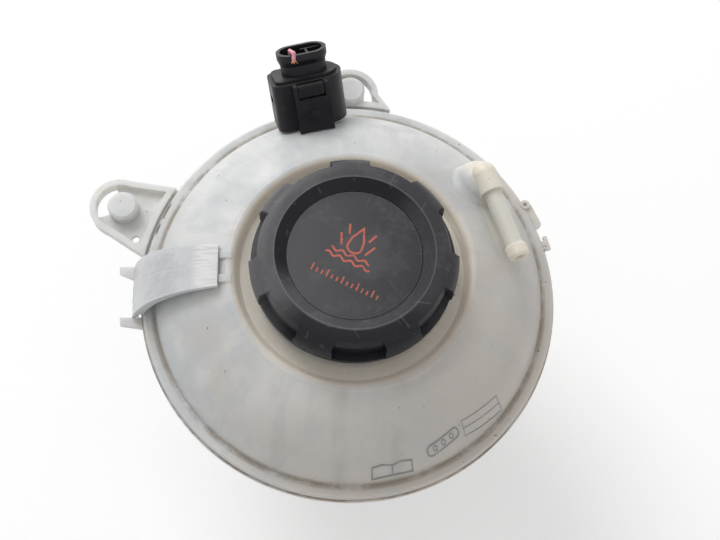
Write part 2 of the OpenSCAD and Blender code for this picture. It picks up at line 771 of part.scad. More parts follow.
// Strap that holds a hose against the dome, hooked under the lower flange
module hose_strap() {
    a0 = atan2(strap_foot[1] - strap_c[1], strap_foot[0] - strap_c[0]);
    a1 = atan2(strap_end[1] - strap_c[1], strap_end[0] - strap_c[0]);
    toward_end = strap_chord / strap_len;
    color([0.66, 0.69, 0.71]) at_weld() rotate([0, 0, strap_az]) {
        intersection() {
            rotate([90, 0, 0]) translate([0, 0, -flange_r / 2]) linear_extrude(height = flange_r) difference() {
                intersection() {
                    difference() {
                        translate(strap_c) circle(r = strap_R);
                        translate(strap_c + toward_end * strap_shift)
                            circle(r = strap_R - strap_t - strap_growth / 2);
                        translate(dome_c) circle(r = dome_r + slip);
                    }
                    wedge(strap_c, a0, a1, 2 * strap_R);
                }
                translate([foot_r - 5, -5]) square([lower_r + slip - foot_r + 5, flange_t + slip + 5]);
            }
            linear_extrude(height = ridge_h + 20)
                polygon([[strap_end[0] - 9, strap_w / 2], [strap_end[0], strap_w / 2],
                         [strap_foot[0], strap_foot_w / 2], [strap_foot[0] + 5, strap_foot_w / 2],
                         [strap_foot[0] + 5, -strap_foot_w / 2], [strap_foot[0], -strap_foot_w / 2],
                         [strap_end[0], -strap_w / 2], [strap_end[0] - 9, -strap_w / 2]]);
        }
        rotate([90, 0, 0]) translate([0, 0, -strap_leg_w / 2]) linear_extrude(height = strap_leg_w)
            polygon([[strap_foot[0] - strap_leg_t, 1], [strap_foot[0] - strap_leg_t, strap_hook_h],
                     [foot_r + 1.8, strap_hook_h], [foot_r + 1.8, strap_hook_h - strap_hook_t],
                     [strap_foot[0], strap_hook_h - strap_hook_t], [strap_foot[0], 1]]);
    }
}

// Two steel rods on a carrier in the socket, with pins for the plug
module sensor_electrodes() {
    color([0.72, 0.72, 0.7]) at_sensor() {
        for (y = [-pin_pitch, pin_pitch]) translate([0, y, 0]) {
            translate([0, 0, -rod_len]) cylinder(r = rod_r, h = rod_len + socket_floor + 0.2);
            cylinder(r = pin_r, h = pin_top - 0.5);
            translate([0, 0, pin_top - 0.5]) cylinder(r1 = pin_r, r2 = pin_r - 0.35, h = 0.5);
        }
        translate([0, 0, socket_floor]) oval(2 * pin_pitch + 5, 4.6, 0.9);
    }
}

// Section of the cap's shell
module cap_section() {
    difference() {
        union() {
            polygon([[0, cap_foot_h], [cap_foot_r - 0.6, cap_foot_h], [cap_foot_r, cap_foot_h + 0.6],
                     [cap_foot_r, pocket_low_h + 0.5], [cap_r, pocket_low_h + 1.3], [cap_r, cap_rim_h - cap_shoulder],
                     [cap_r - cap_shoulder, cap_rim_h], [0, cap_rim_h]]);
            translate([cap_r - cap_shoulder, cap_rim_h - cap_shoulder]) circle(r = cap_shoulder);
        }
        polygon([[-1, disc_h - disc_t], [disc_r + disc_gap, disc_h - disc_t], [disc_r + disc_gap, disc_h],
                 [cap_rim_r, cap_rim_h + eps], [cap_rim_r, cap_rim_h + 1], [-1, cap_rim_h + 1]]);
        polygon([[-1, cap_foot_h - 1], [skirt_r, cap_foot_h - 1], [skirt_r, cap_rim_h - 3.4],
                 [skirt_r - 0.8, cap_rim_h - 2.6], [cap_rim_r + 0.4, cap_rim_h - 2.6],
                 [disc_r + 2, disc_h - 1.2], [disc_r + 2, plate_under], [-1, plate_under]]);
    }
    polygon([[collar_in_r, plate_under + 1], [collar_in_r, wide_top + slip + hook_t],
             [collar_in_r - hook_in, wide_top + slip + hook_t], [collar_in_r - hook_in, wide_top + slip + 0.5],
             [collar_in_r - hook_in + 0.5, wide_top + slip], [collar_in_r + collar_wall, wide_top + slip],
             [collar_in_r + collar_wall, plate_under + 1]]);
}

// Section of the ring that the finger pockets are cut from
module pocket_section() {
    polygon([[cap_r - pocket_depth, pocket_low_h - 1], [cap_r + 2, pocket_low_h - 1],
             [cap_r + 2, pocket_top_h + 0.7], [cap_r - pocket_depth, pocket_top_h + 0.7]]);
}

// Section of the flat cut in the shoulder above a pocket
module scoop_section() {
    c = [cap_r - cap_shoulder, cap_rim_h - cap_shoulder];
    top_r = cap_r - scoop_depth;
    top_h = c[1] + sqrt(pow(cap_shoulder, 2) - pow(top_r - c[0], 2));
    low_r = cap_r - pocket_depth + 0.7;
    polygon([[top_r - 0.1, top_h + 0.4], [low_r, pocket_top_h], [cap_r + 2, pocket_top_h],
             [cap_r + 2, cap_rim_h + 1], [top_r - 0.1, cap_rim_h + 1]]);
}

// One finger pocket with rounded corners, and the cut above it with slanted ends
module finger_pocket() {
    half = cap_r * sin(pocket_angle / 2);
    c = pocket_corner;
    intersection() {
        rotate_extrude() pocket_section();
        translate([cap_r - 8, 0, 0]) rotate([90, 0, 90]) linear_extrude(height = 12) union() {
            translate([c - half, pocket_low_h]) square([2 * half - 2 * c, c + 1]);
            translate([-half, pocket_low_h + c]) square([2 * half, pocket_top_h + 3 - pocket_low_h - c]);
            for (x = [c - half, half - c]) translate([x, pocket_low_h + c]) circle(r = c);
        }
    }
    intersection() {
        rotate_extrude() scoop_section();
        translate([0, 0, pocket_low_h]) linear_extrude(height = cap_rim_h)
            polygon([[cap_r - 6, 1.9 - half], [cap_r + 3, -half - 3.1],
                     [cap_r + 3, half + 3.1], [cap_r - 6, half - 1.9]]);
    }
}

module cap_shell() {
    color([0.16, 0.17, 0.19]) at_weld() difference() {
        rotate_extrude() cap_section();
        for (i = [0:lobe_count - 1]) rotate([0, 0, pocket_az + 360 * i / lobe_count]) finger_pocket();
    }
}

module cap_disc() {
    color([0.14, 0.15, 0.17]) at_weld() rotate_extrude()
        polygon([[0, disc_h - disc_t], [disc_r, disc_h - disc_t], [disc_r, disc_h - 0.3],
                 [disc_r - 0.3, disc_h], [0, disc_h]]);
}

// Insert that carries both valves and both O-rings
module valve_housing() {
    upper_floor = neck_bore_r - o_ring_gap - 2 * o_ring_r - fit;
    lower_floor = neck_low_r - o_ring_gap - 2 * o_ring_r - fit;
    neck = collar_in_r - hook_in - slip;
    color([0.2, 0.2, 0.21]) at_weld() rotate_extrude() difference() {
        polygon([[0, insert_end_h], [insert_low_r - edge, insert_end_h], [insert_low_r, insert_end_h + edge],
                 [insert_low_r, lower_groove_h], [lower_floor, lower_groove_h],
                 [lower_floor, lower_groove_h + groove_h], [insert_low_r, lower_groove_h + groove_h],
                 [insert_low_r, shoulder_h], [insert_r, shoulder_h], [insert_r, upper_groove_h],
                 [upper_floor, upper_groove_h], [upper_floor, upper_groove_h + groove_h],
                 [insert_r, upper_groove_h + groove_h], [insert_r, wide_top], [neck, wide_top],
                 [neck, lip_h], [lip_r, lip_h], [lip_r, insert_top], [0, insert_top]]);
        polygon([[-1, insert_end_h - 1], [port_r, insert_end_h - 1], [port_r, seat_top], [port_r + 2, seat_top],
                 [port_r + 2.6, insert_end_h + floor_t], [chamber_r, insert_end_h + floor_t],
                 [chamber_r, retainer_h], [chamber_r + 1, retainer_h], [chamber_r + 1, insert_top + 1],
                 [-1, insert_top + 1]]);
    }
}

// Perforated disc that holds the spring down
module valve_retainer() {
    color([0.24, 0.24, 0.25]) at_weld() translate([0, 0, retainer_h]) difference() {
        cylinder(r = chamber_r + 0.9, h = retainer_t);
        for (a = [0:60:300]) rotate([0, 0, a]) translate([6, 0, -1]) cylinder(r = 2, h = retainer_t + 2);
    }
}

module ring(r, h) {
    at_weld() translate([0, 0, h]) rotate_extrude() translate([r, 0]) circle(r = o_ring_r);
}

module upper_o_ring() {
    color([0.1, 0.1, 0.1]) ring(neck_bore_r - o_ring_gap - o_ring_r, upper_groove_h + groove_h / 2);
}

module lower_o_ring() {
    color([0.1, 0.1, 0.1]) ring(neck_low_r - o_ring_gap - o_ring_r, lower_groove_h + groove_h / 2);
}

// Over-pressure plate with the guide of the vacuum valve's stem
module pressure_plate() {
    color([0.3, 0.3, 0.31]) at_weld() difference() {
        rotate_extrude() polygon([[stem_r + slip, plate_h], [plate_r, plate_h], [plate_r, plate_top],
            [spring_r - spring_wire_r - 0.4, plate_top], [spring_r - spring_wire_r - 0.4, plate_top + 1.2],
            [spring_r - spring_wire_r - 1.9, plate_top + 1.2], [spring_r - spring_wire_r - 1.9, plate_top],
            [stem_r + slip, plate_top]]);
        for (a = [45:90:315]) rotate([0, 0, a]) translate([3.7, 0, plate_h - 1]) cylinder(r = 0.8, h = plate_t + 2);
    }
}

module pressure_seal() {
    color([0.12, 0.12, 0.12]) at_weld() translate([0, 0, seat_top]) rotate_extrude()
        polygon([[vacuum_r + 0.6, 0], [port_r + 3.4, 0], [port_r + 3.4, seal_t], [vacuum_r + 0.6, seal_t]]);
}

module pressure_spring() {
    color([0.7, 0.7, 0.72]) at_weld() coil(spring_r, spring_wire_r, spring_turns, plate_top, retainer_h);
}

// Vacuum valve: a head under the plate and a stem through it
module vacuum_valve() {
    color([0.45, 0.46, 0.48]) at_weld() rotate_extrude()
        polygon([[0, plate_h - vacuum_head_t], [vacuum_r - 0.4, plate_h - vacuum_head_t],
                 [vacuum_r, plate_h - vacuum_head_t + 0.4], [vacuum_r, plate_h], [stem_r, plate_h],
                 [stem_r, clip_h], [stem_r - 0.5, clip_h], [stem_r - 0.5, clip_h + clip_t],
                 [stem_r, clip_h + clip_t], [stem_r - 0.4, clip_h + clip_t + 0.8], [0, clip_h + clip_t + 0.8]]);
}

module vacuum_clip() {
    color([0.6, 0.6, 0.62]) at_weld() translate([0, 0, clip_h]) difference() {
        cylinder(r = clip_r, h = clip_t);
        translate([0, 0, -1]) cylinder(r = stem_r - 0.5, h = clip_t + 2);
        translate([0, -stem_r + 0.7, -1]) cube([clip_r + 1, 2 * stem_r - 1.4, clip_t + 2]);
    }
}

module vacuum_spring() {
    color([0.7, 0.7, 0.72]) at_weld()
        coil(vacuum_spring_r, vacuum_wire_r, 5, plate_top, clip_h, 6, 16);
}

// Outside of the plug's housing in the sensor's frame: body, neck and collar
module plug_outside() {
    translate([0, 0, plug_low]) body_plan(plug_w, plug_d, plug_corner, plug_h - plug_low);
    translate([0, 0, plug_low]) body_plan(plug_w - 3.4, plug_d - 3, plug_corner - 1.4, plug_h - plug_low + 1.3);
    translate([0, 0, plug_low + 1]) oval(neck_w, neck_d, collar_h - plug_low - 2);
    translate([0, 0, collar_low]) rotate([180, 0, 0]) leaning_oval(collar_w, collar_d, 2.4, 0.9);
    translate([0, 0, collar_low]) oval(collar_w, collar_d, collar_h - collar_low);
}

// Chambers for the contacts and the wires
module plug_chambers() {
    for (y = [-pin_pitch, 0, pin_pitch]) translate([0, y, 0]) {
        cylinder(r = terminal_r + 0.1, h = terminal_top + 0.1);
        cylinder(r = wire_r + 0.25, h = collar_h);
    }
}

// Window in the body's side for the latch's tooth
module latch_window() {
    translate([latch_back - 2, -window_w / 2, latch_low - 0.3]) cube([6, window_w, 4]);
}

module plug_housing() {
    color([0.08, 0.08, 0.09]) at_sensor() {
        difference() {
            plug_outside();
            translate([0, 0, -5]) oval(cavity_w, cavity_d, cavity_top + 5);
            plug_chambers();
            translate([0, 0, mat_top - mat_t]) oval(mat_w, mat_d, mat_t + 1);
            translate([0, 0, recess_low]) oval(collar_w - 2 * recess_in, collar_d - 2 * recess_in, 5);
            latch_window();
            translate([-2.6, plug_w / 2 - 0.9, 11]) cube([5.2, 2, 3]);
        }
        translate([2.2, -collar_w / 2 + 0.8, recess_low + 0.2]) cube([0.9, 9, 2]);
        translate([-collar_d / 2 + 0.8, -pin_pitch / 2 - 0.4, recess_low + 0.2])
            cube([collar_d / 2 + 1.6, 0.8, 2]);
    }
}

// Carrier of the contacts inside the plug, with the groove of its seal
module plug_core() {
    color([0.1, 0.1, 0.11]) at_sensor() difference() {
        translate([0, 0, core_low]) oval(core_w, core_d, cavity_top - core_low);
        translate([0, 0, seal_low]) difference() {
            oval(core_w + 2, core_d + 2, seal_h);
            translate([0, 0, -1]) oval(core_w - 2 * seal_in, core_d - 2 * seal_in, seal_h + 2);
        }
        plug_chambers();
    }
}

// Guard round the latch: two cheeks and a panel on the body's side, with its foot along the dome
module latch_hood() {
    color([0.08, 0.08, 0.09]) difference() {
        at_sensor() difference() {
            union() {
                for (side = [-1, 1])
                    translate([hood_x, side * (hood_w - hood_wall) / 2 - hood_wall / 2, hood_low])
                        cube([hood_out + 2, hood_wall, plug_h - hood_low]);
                translate([hood_x, -hood_w / 2, hood_low]) cube([panel_t, hood_w, panel_top - hood_low]);
                translate([hood_x, 0, 8]) rotate([0, -90, 0]) cylinder(r = 2.2, h = 0.35);
                translate([hood_x, 0, 12.6]) rotate([0, -90, 0]) cylinder(r = 1.6, h = 0.25);
            }
            translate([0, 0, plug_low]) body_plan(plug_w, plug_d, plug_corner, plug_h);
            translate([pivot_x, -hood_w / 2 + 0.5, pivot_z]) rotate([-90, 0, 0])
                cylinder(r = pivot_r + 0.15, h = hood_w - 1);
        }
        at_weld() rotate_extrude() intersection() {
            translate(dome_c) circle(r = dome_r + fit + slip);
            translate([ridge_r, 0]) square([flange_r, 2 * ridge_h]);
        }
    }
}

// Lever of the latch with its press pad, pivots and tooth
module plug_latch() {
    color([0.1, 0.1, 0.11]) at_sensor() {
        translate([latch_back - latch_t, -latch_w / 2, latch_low]) cube([latch_t, latch_w, latch_top - latch_low]);
        translate([hood_x + 0.3, -latch_w / 2, pad_low])
            cube([latch_back - hood_x - 0.6, latch_w, latch_top - pad_low]);
        for (i = [0:3]) translate([hood_x, -latch_w / 2 + 1, pad_low + 0.6 + 0.9 * i]) cube([0.6, latch_w - 2, 0.4]);
        translate([latch_back - 0.5, -window_w / 2 + 0.4, latch_low + 0.2])
            cube([hook_tip - latch_back + 0.5, window_w - 0.8, 2.6]);
        translate([pivot_x, -hood_w / 2 + 0.7, pivot_z]) rotate([-90, 0, 0]) cylinder(r = pivot_r, h = hood_w - 1.4);
    }
}

// Oval sealing ring on the plug's core
module plug_seal() {
    in_w = core_w - 2 * seal_in;
    in_d = core_d - 2 * seal_in;
    color([0.35, 0.16, 0.12]) at_sensor() translate([0, 0, seal_low + 0.1]) difference() {
        oval(socket_w - 2 * socket_wall - 0.2, socket_d - 2 * socket_wall - 0.2, seal_h - 0.2);
        translate([0, 0, -1]) oval(in_w + 0.1, in_d + 0.1, seal_h + 2);
    }
}

// Lock plate over the end of the core, with a prong in the empty middle chamber
module terminal_lock() {
    color([0.5, 0.5, 0.52]) at_sensor() difference() {
        union() {
            translate([0, 0, core_low - lock_t]) oval(core_w - 0.6, core_d - 0.6, lock_t);
            translate([0, 0, core_low - 0.5]) cylinder(r = terminal_r, h = 6);
        }
        for (y = [-pin_pitch, pin_pitch]) translate([0, y, 0]) cylinder(r = pin_r + 0.2, h = 12);
    }
}

module terminal(y) {
    color([0.78, 0.66, 0.38]) at_sensor() translate([0, y, 0]) difference() {
        translate([0, 0, core_low + 0.3]) cylinder(r = terminal_r, h = terminal_top - core_low - 0.3);
        cylinder(r = pin_r + 0.1, h = pin_top + 0.4);
    }
}

module terminal_left() {
    terminal(pin_pitch);
}

module terminal_right() {
    terminal(-pin_pitch);
}

// Soft mat with three holes that seals the wires
module wire_seal() {
    color([0.16, 0.15, 0.16]) at_sensor() difference() {
        translate([0, 0, mat_top - mat_t]) oval(mat_w - 0.2, mat_d - 0.2, mat_t);
        for (y = [-pin_pitch, 0, pin_pitch]) translate([0, y, mat_top - mat_t - 1]) {
            cylinder(r = wire_r + fit, h = mat_t + 2);
            translate([0, 0, mat_t - 0.2]) cylinder(r1 = wire_r, r2 = wire_r + 0.9, h = 1.2);
        }
    }
}

// Cut end of the wire, bent over the collar
module wire_stub() {
    color([0.86, 0.55, 0.6]) at_sensor() translate([0, pin_pitch, 0]) {
        translate([0, 0, terminal_top]) cylinder(r = wire_r, h = collar_h - terminal_top);
        translate([0, 0, collar_h]) {
            sphere(r = wire_r);
            rotate([12, 0, 0]) rotate([0, -78, 0]) {
                cylinder(r = wire_r - fit, h = collar_d / 2 + 1.4);
                translate([0, 0, collar_d / 2 + 1.4]) {
                    sphere(r = wire_r - fit);
                    rotate([0, -84, 0]) cylinder(r = wire_r - 2 * fit, h = 2.4);
                }
            }
        }
    }
}

upper_shell();
filler_neck();
lower_shell();
outlet_spigot();
hose_strap();
sensor_electrodes();
cap_shell();
cap_disc();
valve_housing();
valve_retainer();
upper_o_ring();
lower_o_ring();
pressure_plate();
pressure_seal();
pressure_spring();
vacuum_valve();
vacuum_clip();
vacuum_spring();
plug_housing();
plug_core();
latch_hood();
plug_latch();
plug_seal();
terminal_lock();
terminal_left();
terminal_right();
wire_seal();
wire_stub();
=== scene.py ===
import json
import logging
import math
from dataclasses import dataclass
from enum import Enum
from functools import cached_property
from typing import Any, Callable, NamedTuple, Optional, Sequence

import bmesh
import bpy
import numpy as np
from mathutils import Matrix, Vector
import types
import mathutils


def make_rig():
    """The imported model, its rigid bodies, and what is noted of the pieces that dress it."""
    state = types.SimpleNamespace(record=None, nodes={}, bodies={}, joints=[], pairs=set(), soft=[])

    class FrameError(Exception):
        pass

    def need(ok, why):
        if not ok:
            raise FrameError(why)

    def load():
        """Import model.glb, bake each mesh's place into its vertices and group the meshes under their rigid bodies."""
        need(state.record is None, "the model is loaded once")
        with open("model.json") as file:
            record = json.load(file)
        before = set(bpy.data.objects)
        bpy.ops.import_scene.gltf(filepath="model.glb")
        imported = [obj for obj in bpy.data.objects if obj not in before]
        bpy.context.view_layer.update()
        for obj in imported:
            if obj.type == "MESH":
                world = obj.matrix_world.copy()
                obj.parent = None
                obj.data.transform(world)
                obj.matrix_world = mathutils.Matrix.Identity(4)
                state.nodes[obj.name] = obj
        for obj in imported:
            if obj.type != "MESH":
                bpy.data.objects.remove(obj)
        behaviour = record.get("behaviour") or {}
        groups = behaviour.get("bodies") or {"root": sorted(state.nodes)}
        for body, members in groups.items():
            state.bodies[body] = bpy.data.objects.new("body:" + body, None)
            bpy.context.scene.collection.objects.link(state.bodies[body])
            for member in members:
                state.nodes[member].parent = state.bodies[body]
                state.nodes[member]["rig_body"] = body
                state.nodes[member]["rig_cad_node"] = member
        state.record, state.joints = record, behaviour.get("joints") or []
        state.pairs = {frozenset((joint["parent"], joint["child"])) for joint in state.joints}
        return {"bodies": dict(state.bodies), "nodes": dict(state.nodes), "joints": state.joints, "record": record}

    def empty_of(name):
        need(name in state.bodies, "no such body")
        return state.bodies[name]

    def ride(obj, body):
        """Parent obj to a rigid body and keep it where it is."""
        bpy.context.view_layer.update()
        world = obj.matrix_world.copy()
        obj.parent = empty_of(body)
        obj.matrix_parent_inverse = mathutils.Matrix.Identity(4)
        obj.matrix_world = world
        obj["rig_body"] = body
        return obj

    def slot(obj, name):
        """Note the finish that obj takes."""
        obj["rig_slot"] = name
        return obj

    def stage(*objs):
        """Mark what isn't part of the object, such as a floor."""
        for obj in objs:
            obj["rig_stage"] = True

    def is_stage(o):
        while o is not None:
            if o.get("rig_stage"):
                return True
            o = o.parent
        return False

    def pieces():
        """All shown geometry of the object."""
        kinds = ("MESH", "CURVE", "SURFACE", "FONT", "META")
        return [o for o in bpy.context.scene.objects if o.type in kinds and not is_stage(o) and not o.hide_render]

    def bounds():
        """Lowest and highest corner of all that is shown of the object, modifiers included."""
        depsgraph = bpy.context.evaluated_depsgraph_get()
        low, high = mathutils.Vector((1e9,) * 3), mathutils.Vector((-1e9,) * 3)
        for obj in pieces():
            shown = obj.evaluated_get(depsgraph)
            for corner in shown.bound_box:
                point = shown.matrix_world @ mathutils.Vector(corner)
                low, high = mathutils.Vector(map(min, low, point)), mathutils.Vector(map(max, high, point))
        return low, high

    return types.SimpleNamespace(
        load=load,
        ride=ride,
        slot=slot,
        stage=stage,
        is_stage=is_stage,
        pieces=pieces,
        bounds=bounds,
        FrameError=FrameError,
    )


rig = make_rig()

frame: dict[str, Any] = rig.load()

logging.basicConfig(level=logging.INFO, format="%(name)s: %(message)s")
log = logging.getLogger("expansion_tank")

Rgb = tuple[float, float, float]
Point = tuple[float, float]
Span = tuple[float, float]
Triple = tuple[float, float, float]
Node = bpy.types.Node
Tree = bpy.types.NodeTree
Socket = bpy.types.NodeSocket
Material = bpy.types.Material
Object = bpy.types.Object

MM = 0.001
WELD_Z = 0.098
PLUG_WAY = (-0.162, 0.622, 0.766)
FLAT = (0.0, 0.0)
BLACK = (0.0, 0.0, 0.0)
WHITE = (1.0, 1.0, 1.0)
SIZE_FILE = "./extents.json"


class Body(Enum):
    """The CAD bodies that a piece can ride on."""

    TANK = "tank"
    CAP = "cap"
    PLUG = "plug"


class Band(NamedTuple):
    """A soft stretch of a measure: full within half of middle, gone after soft more."""

    middle: float
    half: float
    soft: float


def write_size(stage_name: str) -> None:
    """Args:
        stage_name: "frame" for the bare CAD, "dressed" for the finished object.
    """
    low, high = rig.bounds()
    try:
        with open(SIZE_FILE) as handle:
            sizes = json.load(handle)
    except (OSError, ValueError):
        sizes = {}
    sizes[stage_name] = {"low": list(low), "high": list(high)}
    with open(SIZE_FILE, "w") as handle:
        json.dump(sizes, handle)


class NodeKit:
    """Shorthand for building a node tree: most methods add one node and return its output."""

    def __init__(self, tree: Tree) -> None:
        """Works on one tree.

        Args:
            tree: The node tree to add to.
        """
        self.tree = tree

    def add(self, kind: str, **settings: Any) -> Node:
        """Adds a node and sets its properties.

        Args:
            kind: The node's type name.
            settings: Properties of the node.

        Returns:
            The new node.
        """
        node = self.tree.nodes.new(kind)
        for name, value in settings.items():
            setattr(node, name, value)
        return node

    def put(self, socket: Socket, value: Any) -> None:
        """Links a socket to an output, or sets it to a plain value.

        Args:
            socket: The input.
            value: An output socket, a number, a vector or a colour.
        """
        if isinstance(value, bpy.types.NodeSocket):
            self.tree.links.new(value, socket)
        elif socket.type == "RGBA" and isinstance(value, tuple) and len(value) == 3:
            socket.default_value = (*value, 1.0)
        else:
            socket.default_value = value

    def split(self, vector: Socket) -> tuple[Socket, Socket, Socket]:
        """Returns the three parts of a vector."""
        node = self.add("ShaderNodeSeparateXYZ")
        self.put(node.inputs[0], vector)
        return node.outputs[0], node.outputs[1], node.outputs[2]

    def join(self, x: Any, y: Any, z: Any) -> Socket:
        """Returns a vector from three parts."""
        node = self.add("ShaderNodeCombineXYZ")
        for socket, value in zip(node.inputs, (x, y, z)):
            self.put(socket, value)
        return node.outputs[0]

    def sum(self, operation: str, first: Any, *others: Any) -> Socket:
        """Carries one operation through two or more values.

        Args:
            operation: Blender's name of the operation.
            first: First value or output.
            others: The values or outputs that follow it; none if the operation takes one value.

        Returns:
            The result.
        """
        for value in others or (0.0,):
            node = self.add("ShaderNodeMath", operation=operation)
            self.put(node.inputs[0], first)
            self.put(node.inputs[1], value)
            first = node.outputs[0]
        return first

    def times(self, *values: Any) -> Socket:
        """Returns the product of two or more values."""
        return self.sum("MULTIPLY", *values)

    def plus(self, *values: Any) -> Socket:
        """Returns the total of two or more values."""
        return self.sum("ADD", *values)

    def minus(self, a: Any, b: Any) -> Socket:
        """Returns a less b."""
        return self.sum("SUBTRACT", a, b)

    def highest(self, *values: Any) -> Socket:
        """Returns the highest of two or more values."""
        return self.sum("MAXIMUM", *values)

    def ramp(self, value: Any, low: Any, high: Any, out_low: float = 0.0, out_high: float = 1.0) -> Socket:
        """Returns a value carried smoothly from one range to another, and kept inside it."""
        node = self.add("ShaderNodeMapRange", interpolation_type="SMOOTHSTEP")
        for socket, number in zip(node.inputs, (value, low, high, out_low, out_high)):
            self.put(socket, number)
        return node.outputs[0]

    def band(self, value: Any, where: Band) -> Socket:
        """Returns 1 inside a band, falling to 0 over its soft edge."""
        away = self.sum("ABSOLUTE", self.minus(value, where.middle))
        return self.ramp(away, where.half, where.half + where.soft, 1.0, 0.0)

    def noise(self, vector: Any, scale: Any, detail: float = 3.0, rough: float = 0.5) -> Socket:
        """Returns soft noise from 0 to 1 over a place."""
        node = self.add("ShaderNodeTexNoise")
        for name, value in (("Vector", vector), ("Scale", scale), ("Detail", detail), ("Roughness", rough)):
            self.put(node.inputs[name], value)
        return node.outputs["Fac"]

    def mix(self, share: Any, a: Any, b: Any) -> Socket:
        """Returns a colour between two colours."""
        node = self.add("ShaderNodeMix", data_type="RGBA")
        for number, value in ((0, share), (6, a), (7, b)):
            self.put(node.inputs[number], value)
        return node.outputs[2]

    def vector(self, operation: str, a: Any, b: Triple) -> Node:
        """Returns a node that works on two vectors."""
        node = self.add("ShaderNodeVectorMath", operation=operation)
        self.put(node.inputs[0], a)
        self.put(node.inputs[1], b)
        return node

    def polar(self, vector: Socket) -> tuple[Socket, Socket, Socket]:
        """Returns the distance from the tank's axis, the azimuth in radians and the height."""
        x, y, z = self.split(vector)
        radius = self.sum("SQRT", self.plus(self.times(x, x), self.times(y, y)))
        return radius, self.sum("ARCTAN2", y, x), z


class Effects:
    """Shader node groups that several finishes share, each built once."""

    def __init__(self) -> None:
        """Starts with no group built."""
        self.built: dict[str, Tree] = {}

    def mask(self, kit: NodeKit, name: str, values: dict[str, Any],
             fill: Callable[[NodeKit, Node], Socket]) -> Socket:
        """Places the named group in a material, and builds it on first use.

        Args:
            kit: The material's kit.
            name: The group's name.
            values: Value or output for each named input. Place is a vector, the others are numbers.
            fill: Fills the tree, given its kit and its input node, and returns the mask.

        Returns:
            The group's mask.
        """
        if name not in self.built:
            tree = bpy.data.node_groups.new(name, "ShaderNodeTree")
            for label in values:
                kind = "NodeSocketVector" if label == "Place" else "NodeSocketFloat"
                tree.interface.new_socket(label, in_out="INPUT", socket_type=kind)
            tree.interface.new_socket("Mask", in_out="OUTPUT", socket_type="NodeSocketFloat")
            inner = NodeKit(tree)
            source, sink = inner.add("NodeGroupInput"), inner.add("NodeGroupOutput")
            inner.put(sink.inputs["Mask"], fill(inner, source))
            self.built[name] = tree
        node = kit.add("ShaderNodeGroup", node_tree=self.built[name])
        for label, value in values.items():
            kit.put(node.inputs[label], value)
        return node.outputs["Mask"]

    def grime(self, kit: NodeKit, place: Socket, scale: float, low: float, high: float) -> Socket:
        """Returns a mask of uneven dirt: soft clouds broken by fine grain.

        Args:
            kit: The material's kit.
            place: Where on the piece.
            scale: Clouds in a metre.
            low: Cloud value where dirt starts.
            high: Cloud value where dirt is full.
        """

        def fill(inner: NodeKit, source: Node) -> Socket:
            """Builds soft clouds with fine grain on them."""
            here, size = source.outputs["Place"], source.outputs["Scale"]
            clouds = inner.noise(here, size, 5.0, 0.6)
            fine = inner.noise(here, inner.times(size, 9.0), 2.0)
            both = inner.plus(clouds, inner.times(inner.minus(fine, 0.5), 0.35))
            return inner.ramp(both, source.outputs["Low"], source.outputs["High"])

        return self.mask(kit, "grime", {"Place": place, "Scale": scale, "Low": low, "High": high}, fill)

    def scuffs(self, kit: NodeKit, place: Socket, density: float) -> Socket:
        """Returns a mask of thin scuffs that run in several directions.

        Args:
            kit: The material's kit.
            place: Where on the piece.
            density: Scuffs in a metre.
        """

        def fill(inner: NodeKit, source: Node) -> Socket:
            """Builds streaks that run three ways."""
            streaks = []
            for turn, size in ((0.4, (1.0, 0.05, 1.0)), (1.7, (1.0, 0.04, 1.0)), (2.5, (0.9, 0.06, 1.0))):
                spin = inner.add("ShaderNodeVectorRotate", rotation_type="Z_AXIS")
                inner.put(spin.inputs["Vector"], source.outputs["Place"])
                inner.put(spin.inputs["Angle"], turn)
                drawn = inner.vector("MULTIPLY", spin.outputs[0], size).outputs[0]
                streaks.append(inner.ramp(inner.noise(drawn, source.outputs["Density"], 2.0), 0.68, 0.74))
            return inner.highest(*streaks)

        return self.mask(kit, "scuffs", {"Place": place, "Density": density}, fill)


class Coat(NodeKit):
    """The nodes of one material, round its Principled shader."""

    def __init__(self, name: str, effects: Effects) -> None:
        """Makes the material with an unjoined shader.

        Args:
            name: The material's name.
            effects: The shared effects.
        """
        self.material = bpy.data.materials.new(name)
        self.material.use_nodes = True
        super().__init__(self.material.node_tree)
        self.tree.nodes.clear()
        self.effects = effects
        self.shader = self.add("ShaderNodeBsdfPrincipled")
        self.put(self.add("ShaderNodeOutputMaterial").inputs[0], self.shader.outputs[0])

    @cached_property
    def place(self) -> Socket:
        """The place in the object's own frame, in metres."""
        return self.add("ShaderNodeTexCoord").outputs["Object"]

    @cached_property
    def axes(self) -> tuple[Socket, Socket, Socket]:
        """The three parts of the place."""
        return self.split(self.place)

    @cached_property
    def round(self) -> tuple[Socket, Socket, Socket]:
        """The place's distance from the tank's axis, azimuth and height."""
        return self.polar(self.place)

    def give(self, **values: Any) -> None:
        """Sets or joins shader inputs, with an underscore for each space of their names."""
        for name, value in values.items():
            self.put(self.shader.inputs[name.replace("_", " ")], value)

    def grime(self, scale: float, low: float, high: float) -> Socket:
        """Returns the shared dirt mask over this material."""
        return self.effects.grime(self, self.place, scale, low, high)

    def bump(self, height: Socket, depth: float, strength: float) -> Socket:
        """Returns a normal bent by a height.

        Args:
            height: Output with the height.
            depth: Height of 1, in metres.
            strength: Share of the effect.
        """
        node = self.add("ShaderNodeBump")
        for name, value in (("Strength", strength), ("Distance", depth), ("Height", height)):
            self.put(node.inputs[name], value)
        return node.outputs[0]


